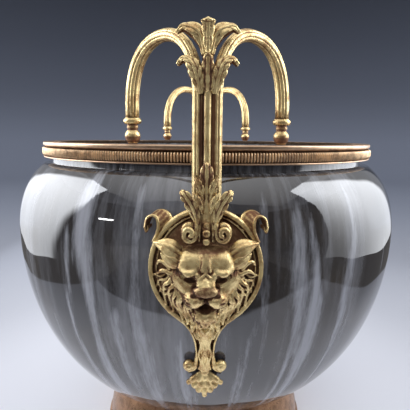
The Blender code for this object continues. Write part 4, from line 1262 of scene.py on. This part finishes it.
def add_spray(relief):
    """The stem's middle reed and, at its foot, two volutes and a string of beads."""
    relief.stroke([(0.0, 50.0, 0.0), (0.0, 42.0, 0.0), (0.0, 28.0, 0.0)], [2.4, 2.6, 3.0], 1.0)
    relief.stroke([(0.0, 28.0, 2.3), (0.0, 0.0, 2.3), (0.0, -34.0, 2.3)], 1.95, 0.5, samples=1)
    relief.stroke([(0.0, -20.0, 2.0), (0.0, -30.0, 2.2), (0.0, -38.0, 2.4), (0.0, -45.0, 2.4)],
                  [3.4, 3.2, 3.0, 2.4], 0.8)
    # The beads, each as its height and radius, the dimple in the biggest, and a line beside them.
    for height, radius in ((-32.7, 1.0), (-34.9, 1.2), (-38.0, 1.7), (-42.0, 2.2), (-46.2, 2.0)):
        relief.ball((0.0, height, 4.9), (radius, radius, 0.8 * radius), 0.25)
    relief.ball((0.0, -42.0, 6.8), (1.0, 1.0, 1.0), 0.25, carve=True)
    relief.stroke([(2.6, -31.0, 4.2), (2.9, -38.0, 4.4), (3.3, -45.8, 4.2)], 0.6, 0.3)
    # The volute: a band that comes down and rolls up over a low boss.
    scroll = [(4.6, -32.0, 4.0), (4.9, -37.0, 4.4)]
    for turned in range(180, 601, 30):
        share = (turned - 180) / 420
        bearing = math.radians(turned)
        away = np.array([3.5, 4.5]) * (1 - 0.74 * share)
        scroll.append((8.3 + away[0] * math.cos(bearing), -42.2 + away[1] * math.sin(bearing),
                       4.6 + 1.6 * share))
    swelling = [1.1 + 0.4 * math.sin(math.pi * step / 14) for step in range(15)]
    relief.stroke(scroll, [0.9, 1.0] + swelling, 0.2, samples=3)
    relief.ball((8.4, -42.2, 1.8), (4.4, 5.3, 2.0), 0.6)


def place_on_stem(flat):
    """Stand ornament (across, up from the rim's top, out from the stem) at the front."""
    return np.stack([flat[:, 0], -STEM_DISTANCE - flat[:, 2], RIM_TOP + flat[:, 1]], axis=1)


def trim_over_mask(relief):
    """Cut the ornament's back so that it clears the cartouche that lies on the belly."""
    across, up, out = np.meshgrid(*relief.axes, indexing="ij")
    drop = np.clip(-up, NECK_DROP, BASE_DROP)
    radius = np.interp(drop[0, :, 0], *meridian()[:2])[None, :, None]
    clearance = radius + MASK_OVER_BOWL - np.hypot(across, STEM_DISTANCE + out)
    relief.field = np.maximum(relief.field, clearance)


def stain_and_shade_mask(points, recess):
    """Darken the mask's ground, partly with stain and partly with painted shade, lay painted shade in its
    deep places, and brighten the band of its frame.
    """
    recess = np.maximum(recess, GROUND_STAIN_AND_SHADE * np.clip((3.0 - points[:, 2]) / 0.8, 0, 1))
    from_middle = np.hypot(points[:, 0], (points[:, 1] - FRAME_MIDDLE) / FRAME_STRETCH)
    recess[(from_middle > 0.915 * MASK_RADIUS) & (points[:, 2] > 3.3)] *= 0.3
    # Painted shade in the mouth, eyes, nostrils, ears, under the crown and on the nose.
    for centre, radii, depth in PAINTED_SHADE_PLACES:
        away = np.linalg.norm((folded(points) - centre) / radii, axis=1)
        recess = np.maximum(recess, depth * np.clip((1.25 - away) / 0.35, 0, 1))
    return recess


def add_front_and_back(name, node, points, faces, recess):
    """Add a gilt piece at the front of the pot, and the same piece turned round at its back."""
    for end, turned in (("front", 1), ("back", -1)):
        add_gilt_piece(name + end, node + end, points * (turned, turned, 1), faces, recess)


def add_lion_masks(sizes):
    """Front and back escutcheons: a lion's mask in its cartouche, with the pendant below."""
    relief = Relief((0, -86, 0), (34, 34, 20), sizes.mask_grain)
    for carve in (add_frame, add_face, add_ear, add_mane, add_beard, add_pendant):
        carve(relief)
    relief.field = np.maximum(relief.field, MASK_BACK - relief.axes[2])
    points, faces = skin(relief)
    recess = stain_and_shade_mask(points, hollow_depth(relief, points, faces))
    points, faces, recess = join([(points, faces, recess)] + ear_leaves() + strap_ends())
    add_front_and_back("carved_mask_", "lion_mask_", wrap_on_bowl(points), faces, recess)


def add_handles(sizes):
    """Front and back handles: two reeded tubes bound by calyxes, over an acanthus spray."""
    relief = Relief((0, -52, -11), (17, 64, 12), sizes.stem_grain)
    add_spray(relief)
    trim_over_mask(relief)
    points, faces = skin(relief)
    carved = (points, faces, hollow_depth(relief, points, faces))
    points, faces, recess = join([carved] + calyx_leaves() + spray_leaves())
    tubes = [tube_mesh(side, sizes) for side in (-1, 1)]
    points, faces, recess = join([(place_on_stem(points), faces, recess)] + tubes)
    add_front_and_back("reeded_handle_", "handle_", points, faces, recess)


# ---------------------------------------------------------------- stage, lights and camera

# The paper's rings on the floor, the curve up to its wall and the wall's heights, in millimetres,
# and its steps round.
PAPER_RINGS = (200.0, 400.0, 800.0, 1400.0, 2200.0)
PAPER_CURVE = 900.0
WALL_HEIGHTS = (1400.0, 2000.0)
PAPER_STEPS = 96

# How far to the side and to the front mirror-like surfaces see the paper, the softness of that
# edge, where it fades away behind the pot, and how much paler the room is at the sides.
TABLE = (0.40, 0.28)
TABLE_EDGE = 0.012
TABLE_BACK = (0.5, 1.0)
SIDE_ROOM = 3.2

# How pale the paper is at a distance from the pot, in metres along the floor and up the wall,
# where a metre counts as PAPER_CLIMB, and how its red, green and blue change by COOL_FROM.
PAPER_REACH = 6.0
PAPER_CLIMB = 1.2
PAPER_COOLING = (-0.15, -0.07, 0.08)
COOL_FROM = 1.2
PAPER_SHADE = ((0.0, 0.98), (0.2, 0.86), (0.34, 0.58), (0.6, 0.65), (1.15, 0.57), (2.0, 0.59),
               (3.0, 0.58), (3.5, 0.35), (3.9, 0.29), (4.3, 0.20), (4.7, 0.137), (5.6, 0.09))

# The softboxes beside the pot: the side, the share of the power, the middle as (along Y, up), the
# size, and the cuts of the lower front and the upper back corner. BOX_BOTTOM and BOX_TOP are how
# bright they are below and above.
SIDE_BOXES = (("left", -1, 1.0, (0.235, 0.32), (0.85, 0.55),
               (0.27, 0.82, 0.88, 0.0), (1.31, -0.06, 0.05, 0.12)),
              ("right", 1, 1.04, (0.09, 0.385), (0.71, 0.65),
               (0.55, 0.40, 0.92, 0.25), (1.48, -0.10, 0.03, 0.15)))
BOX_DISTANCE = 0.445
BOX_TINT = (0.92, 0.95, 1.0)
BOX_SPREAD = 138.0
BOX_BOTTOM = 0.40
BOX_TOP = 1.35
CEILING_SHARE = 1.7
ROOM_COLOUR = (0.60, 0.62, 0.70)

# The camera: its place in metres, its lens and film width in millimetres, and how far it is turned
# down from level and rolled, in degrees.
CAMERA_PLACE = (-0.0007, -0.3597, 0.2368)
CAMERA_LENS = 38.71
CAMERA_FILM = 36.0
CAMERA_DOWN = 8.89
CAMERA_ROLL = 0.547


def stage_material(colours):
    """Pale paper that falls off into shade away from the pot.

    To the sides and in front, mirror-like surfaces see it only as far as a table would reach;
    beyond, its colour turns to a painted reflection of a dark room."""
    made, wire, shader = start_material("studio_paper")
    place = wire.add("ShaderNodeTexCoord").outputs["Object"]
    place = wire.add("ShaderNodeSeparateXYZ", {"Vector": place}).outputs
    square = wire.plus(wire.math("POWER", place["X"], 2.0), wire.math("POWER", place["Y"], 2.0))
    away = wire.plus(wire.math("SQRT", square), wire.times(place["Z"], PAPER_CLIMB))
    ramp = wire.add("ShaderNodeValToRGB", {"Fac": wire.math("DIVIDE", away, PAPER_REACH)})
    ramp.color_ramp.interpolation = "B_SPLINE"
    while len(ramp.color_ramp.elements) < len(PAPER_SHADE):
        ramp.color_ramp.elements.new(0.5)
    for element, (reach, level) in zip(ramp.color_ramp.elements, PAPER_SHADE):
        element.position = reach / PAPER_REACH
        cool = min(1.0, reach / COOL_FROM)
        element.color = colour([level * (1 + share * cool) for share in PAPER_COOLING])
    side, front = TABLE
    beyond_side = wire.ramp(wire.math("ABSOLUTE", place["X"]), side, side + TABLE_EDGE)
    beyond_front = wire.ramp(wire.times(place["Y"], -1.0), front, front + TABLE_EDGE)
    beyond = wire.math("MAXIMUM", beyond_side, beyond_front)
    beyond = wire.times(beyond, wire.ramp(place["Y"], *TABLE_BACK, to_low=1.0, to_high=0.0))
    mirrored_ray = wire.add("ShaderNodeLightPath").outputs["Is Glossy Ray"]
    tint = wire.mix(1.0, colour(colours.paper), ramp.outputs["Color"], "MULTIPLY")
    side_room = [SIDE_ROOM * part for part in colours.room]
    room = wire.mix(beyond_side, colour(colours.room), colour(side_room))
    # Painted reflection: beyond the table's reach, glossy rays see the room's dark colour.
    tint = wire.mix(wire.times(beyond, mirrored_ray), tint, room)
    wire.fill(shader, {"Roughness": 0.9, "Specular IOR Level": 0.1, "Base Color": tint})
    return made


def add_stage(colours):
    """A round paper floor that curves up into a wall all round."""
    edge = PAPER_RINGS[-1]
    profile = [(0, 0.0, 0.0)] + [(radius, 0.0, 0.0) for radius in PAPER_RINGS]
    for angle in np.radians(range(9, 91, 9)):
        across = edge + PAPER_CURVE * math.sin(angle)
        profile.append((across, PAPER_CURVE - PAPER_CURVE * math.cos(angle), 0.0))
    profile += [(edge + PAPER_CURVE, height, 0.0) for height in WALL_HEIGHTS]
    points, faces, _ = turn(profile, PAPER_STEPS)
    # The last ring of faces would close the wall's top back to the middle of the floor.
    faces = [face for face in faces if len(set(face)) > 2][:-PAPER_STEPS]
    mesh = new_mesh("paper_stage", points, faces, closed=False)
    mesh.materials.append(stage_material(colours))
    stage = new_object("paper_stage", mesh)


def add_softbox(name, place, aim, size, power, tint=(1.0, 1.0, 1.0), spread=180.0):
    """A rectangular area light at a place, turned to its aim, in metres, watts and degrees."""
    light = bpy.data.lights.new(name, "AREA")
    light.shape = "RECTANGLE"
    light.size, light.size_y = size
    light.energy = power
    light.color = tint
    light.spread = math.radians(spread)
    lamp = new_object(name, light)
    lamp.location = place
    toward = Vector(aim) - Vector(place)
    lamp.rotation_euler = toward.to_track_quat("-Z", "Y").to_euler()
    lamp.visible_camera = False
    return lamp


def shape_softbox(lamp, side, front_cut, back_cut):
    """Dim a softbox towards its bottom, and cut its lower front and upper back corners.

    A cut is (steepness, start, end, keep) over the box's own front-to-back and bottom-to-top shares."""
    lamp.data.use_nodes = True
    wire = Wiring(lamp.data.node_tree)
    place = wire.add("ShaderNodeNewGeometry").outputs["Parametric"]
    place = wire.add("ShaderNodeSeparateXYZ", {"Vector": place}).outputs
    forward = place["X"] if side < 0 else wire.math("SUBTRACT", 1.0, place["X"])
    height = place["Y"]
    power = wire.ramp(height, 0.0, 0.8, BOX_BOTTOM, BOX_TOP)
    corners = ((forward, height, front_cut), (height, forward, back_cut))
    for first, second, (steep, start, end, keep) in corners:
        beyond = wire.math("SUBTRACT", first, wire.times(second, steep))
        power = wire.times(power, wire.ramp(beyond, start, end, 1.0, keep))
    wire.fill(lamp.data.node_tree.nodes["Emission"].inputs, {"Strength": power})


def add_lights(lighting):
    """Two softboxes beside the pot, a ceiling and its sheen, a fill, a strip lamp and a dim room."""
    for name, side, share, (along, up), size, front_cut, back_cut in SIDE_BOXES:
        box = add_softbox("softbox_" + name, (side * BOX_DISTANCE, along, up), (0.0, along, up - 0.01),
                          size, share * lighting.side_power, BOX_TINT, BOX_SPREAD)
        shape_softbox(box, side, front_cut, back_cut)
    # The ceiling lights only what is matt, and its sheen only what mirrors it.
    ceiling = add_softbox("softbox_ceiling", (0.0, -0.10, 1.95), (0.0, 0.0, 0.1), (3.6, 2.6),
                          CEILING_SHARE * lighting.top_power)
    ceiling.visible_glossy = False
    sheen = add_softbox("softbox_sheen", (0.0, 0.2, 1.90), (0.0, 0.2, 0.0), (3.6, 3.8),
                        lighting.sheen_power, spread=112.0)
    sheen.visible_diffuse = False
    fill = add_softbox("fill", (-0.5, -1.5, 0.9), (0.0, 0.0, 0.2), (1.2, 0.8), lighting.fill_power)
    fill.visible_glossy = False
    strip = add_softbox("strip", (-0.54, -0.42, 0.345), (0.0, 0.0, 0.18), (0.10, 0.010),
                        lighting.strip_power)
    strip.rotation_euler.rotate_axis("Z", math.radians(8))
    world = bpy.data.worlds.new("dim_room")
    world.use_nodes = True
    background = world.node_tree.nodes["Background"].inputs
    background["Color"].default_value = colour(ROOM_COLOUR)
    background["Strength"].default_value = lighting.room
    bpy.context.scene.world = world
    bpy.context.scene.view_settings.view_transform = "Standard"


def add_camera():
    """A camera just above the rim, close to the front handle, looking slightly down."""
    lens = bpy.data.cameras.new("camera")
    lens.lens = CAMERA_LENS
    lens.sensor_width = CAMERA_FILM
    camera = new_object("camera", lens)
    camera.location = CAMERA_PLACE
    tilt = Euler((math.radians(90 - CAMERA_DOWN), 0, 0)).to_matrix()
    camera.rotation_euler = (tilt @ Matrix.Rotation(math.radians(CAMERA_ROLL), 3, "Z")).to_euler()
    bpy.context.scene.camera = camera


# ---------------------------------------------------------------- settings, operators and panel

class CachepotSizes(bpy.types.PropertyGroup):
    """How finely the pieces are made and how their repeated ornament is divided."""
    segments: IntProperty(
        name="Turning steps", description="Steps round each turned ring and the bowl", default=256, min=24)
    bowl_rows: IntProperty(
        name="Bowl rows", description="Rows of faces up the bowl's outer side", default=120, min=12)
    reeds: IntProperty(name="Reeds", description="Reeds round each handle tube", default=8, min=3)
    reed_depth: FloatProperty(
        name="Reed depth", description="Depth of the grooves as a share of the tube's radius",
        default=0.16, min=0.0, max=0.5, subtype="FACTOR")
    tube_stations: IntProperty(
        name="Tube stations", description="Sections along each half of an arch", default=26, min=6)
    rib_count: IntProperty(
        name="Rim ribs", description="Upright ribs round the rim", default=448, min=12)
    rib_width: FloatProperty(
        name="Rib width", description="Width of one rib, in millimetres", default=1.45, min=0.2)
    mask_grain: FloatProperty(
        name="Mask grain", description="Grid of the lion masks' carving, in millimetres",
        default=0.41, min=0.2)
    stem_grain: FloatProperty(
        name="Stem grain", description="Grid of the carving on the handles' stems, in millimetres",
        default=0.40, min=0.2)


class CachepotColours(bpy.types.PropertyGroup):
    """The colours of the glaze, the mounts and the studio paper."""
    gilt: FloatVectorProperty(
        name="Gilt", description="Gilding where it is bright", subtype="COLOR",
        default=(1.0, 0.775, 0.37), min=0, max=1)
    gilt_worn: FloatVectorProperty(
        name="Worn gilt", description="Gilding where it is rubbed", subtype="COLOR",
        default=(0.54, 0.33, 0.135), min=0, max=1)
    stain: FloatVectorProperty(
        name="Stain", description="Brown stain in the hollows", subtype="COLOR",
        default=(0.21, 0.100, 0.052), min=0, max=1)
    red_bronze: FloatVectorProperty(
        name="Red bronze", description="The rim's bronze where it is bright", subtype="COLOR",
        default=(0.72, 0.50, 0.33), min=0, max=1)
    red_worn: FloatVectorProperty(
        name="Worn red bronze", description="The rim and its ribs where they are rubbed", subtype="COLOR",
        default=(0.58, 0.38, 0.24), min=0, max=1)
    # Darker than the rim: painted shade of the bowl that hangs over the foot.
    foot_bronze_in_shade: FloatVectorProperty(
        name="Foot bronze", description="The foot, darker than the rim", subtype="COLOR",
        default=(0.47, 0.27, 0.155), min=0, max=1)
    # The rim's bronze made lighter on the ribs: painted light.
    rib_bronze_lit: FloatVectorProperty(
        name="Rib bronze", description="The polished ribs of the rim", subtype="COLOR",
        default=(1.0, 0.70, 0.42), min=0, max=1)
    glaze_body: FloatVectorProperty(
        name="Glaze", description="The dark glaze", subtype="COLOR",
        default=(0.021, 0.019, 0.019), min=0, max=1)
    glaze_warm: FloatVectorProperty(
        name="Warm glaze", description="The dark glaze where it is brownish", subtype="COLOR",
        default=(0.034, 0.028, 0.023), min=0, max=1)
    glaze_run: FloatVectorProperty(
        name="Runs", description="The pale runs in the glaze", subtype="COLOR",
        default=(0.275, 0.28, 0.305), min=0, max=1)
    paper: FloatVectorProperty(
        name="Paper", description="The studio floor near the pot", subtype="COLOR",
        default=(0.90, 0.90, 0.945), min=0, max=1)
    room: FloatVectorProperty(
        name="Room", description="The dark room that the glaze and the metal mirror", subtype="COLOR",
        default=(0.055, 0.052, 0.050), min=0, max=1)


class CachepotLighting(bpy.types.PropertyGroup):
    """How strong the studio's lights are."""
    side_power: FloatProperty(
        name="Side softboxes", description="Power of the left softbox; the right is a little stronger",
        default=4.6, min=0, unit="POWER")
    top_power: FloatProperty(
        name="Ceiling", description="Power of the ceiling as matt surfaces are lit by it",
        default=13.0, min=0, unit="POWER")
    sheen_power: FloatProperty(
        name="Ceiling sheen", description="Power of the ceiling as glaze and metal mirror it",
        default=19.0, min=0, unit="POWER")
    fill_power: FloatProperty(
        name="Fill", description="Power of the soft light behind the camera",
        default=13.0, min=0, unit="POWER")
    strip_power: FloatProperty(
        name="Strip lamp", description="Power of the small strip lamp", default=0.12, min=0,
        unit="POWER")
    room: FloatProperty(
        name="Room", description="Strength of the dim room's light", default=0.36, min=0)


class CACHEPOT_OT_bowl(bpy.types.Operator):
    """Turn the hollow bowl and lay the running glaze on it"""
    bl_idname = "cachepot.bowl"
    bl_label = "Glazed bowl"

    def execute(self, context):
        add_bowl(context.scene.cachepot_sizes)
        return {"FINISHED"}


class CACHEPOT_OT_rings(bpy.types.Operator):
    """Turn the bronze rim with its ribs, and the bronze foot"""
    bl_idname = "cachepot.rings"
    bl_label = "Rim and foot"

    def execute(self, context):
        add_rim_ring(context.scene.cachepot_sizes)
        add_rim_ribs(context.scene.cachepot_sizes)
        add_foot_ring(context.scene.cachepot_sizes)
        return {"FINISHED"}


class CACHEPOT_OT_knops(bpy.types.Operator):
    """Turn the four knops on which the handles' arms stand"""
    bl_idname = "cachepot.knops"
    bl_label = "Knops"

    def execute(self, context):
        add_knops(context.scene.cachepot_sizes)
        return {"FINISHED"}


class CACHEPOT_OT_handles(bpy.types.Operator):
    """Sweep the handles' reeded tubes, carve their stems and lay their leaves"""
    bl_idname = "cachepot.handles"
    bl_label = "Handles"

    def execute(self, context):
        add_handles(context.scene.cachepot_sizes)
        return {"FINISHED"}


class CACHEPOT_OT_masks(bpy.types.Operator):
    """Carve the two lion masks in their cartouches"""
    bl_idname = "cachepot.masks"
    bl_label = "Lion masks"

    def execute(self, context):
        add_lion_masks(context.scene.cachepot_sizes)
        return {"FINISHED"}


class CACHEPOT_OT_stage(bpy.types.Operator):
    """Lay the pale floor, hang the lights and set up the camera"""
    bl_idname = "cachepot.stage"
    bl_label = "Stage, lights and camera"

    def execute(self, context):
        add_stage(context.scene.cachepot_colours)
        add_lights(context.scene.cachepot_lighting)
        add_camera()
        return {"FINISHED"}


class CACHEPOT_PT_panel(bpy.types.Panel):
    """Lists the steps and the settings in the sidebar"""
    bl_idname = "CACHEPOT_PT_panel"
    bl_label = "Cachepot"
    bl_space_type = "VIEW_3D"
    bl_region_type = "UI"
    bl_category = "Cachepot"

    def draw(self, context):
        scene = context.scene
        for group in (scene.cachepot_sizes, scene.cachepot_colours, scene.cachepot_lighting):
            for name in group.__annotations__:
                self.layout.prop(group, name)
        for step in STEPS:
            self.layout.operator(step.bl_idname)


SETTINGS = (CachepotSizes, CachepotColours, CachepotLighting)
STEPS = (CACHEPOT_OT_bowl, CACHEPOT_OT_rings, CACHEPOT_OT_knops, CACHEPOT_OT_handles, CACHEPOT_OT_masks,
         CACHEPOT_OT_stage)


def register():
    """Register the classes, and keep the settings with the scene."""
    for each in SETTINGS + STEPS + (CACHEPOT_PT_panel,):
        bpy.utils.register_class(each)
    bpy.types.Scene.cachepot_sizes = PointerProperty(type=CachepotSizes)
    bpy.types.Scene.cachepot_colours = PointerProperty(type=CachepotColours)
    bpy.types.Scene.cachepot_lighting = PointerProperty(type=CachepotLighting)


def unregister():
    """Take back what register did."""
    del bpy.types.Scene.cachepot_lighting
    del bpy.types.Scene.cachepot_colours
    del bpy.types.Scene.cachepot_sizes
    for each in reversed(SETTINGS + STEPS + (CACHEPOT_PT_panel,)):
        bpy.utils.unregister_class(each)


def main():
    register()
    for step in STEPS:
        group, name = step.bl_idname.split(".")
        getattr(getattr(bpy.ops, group), name)()


if __name__ == "__main__":
    main()
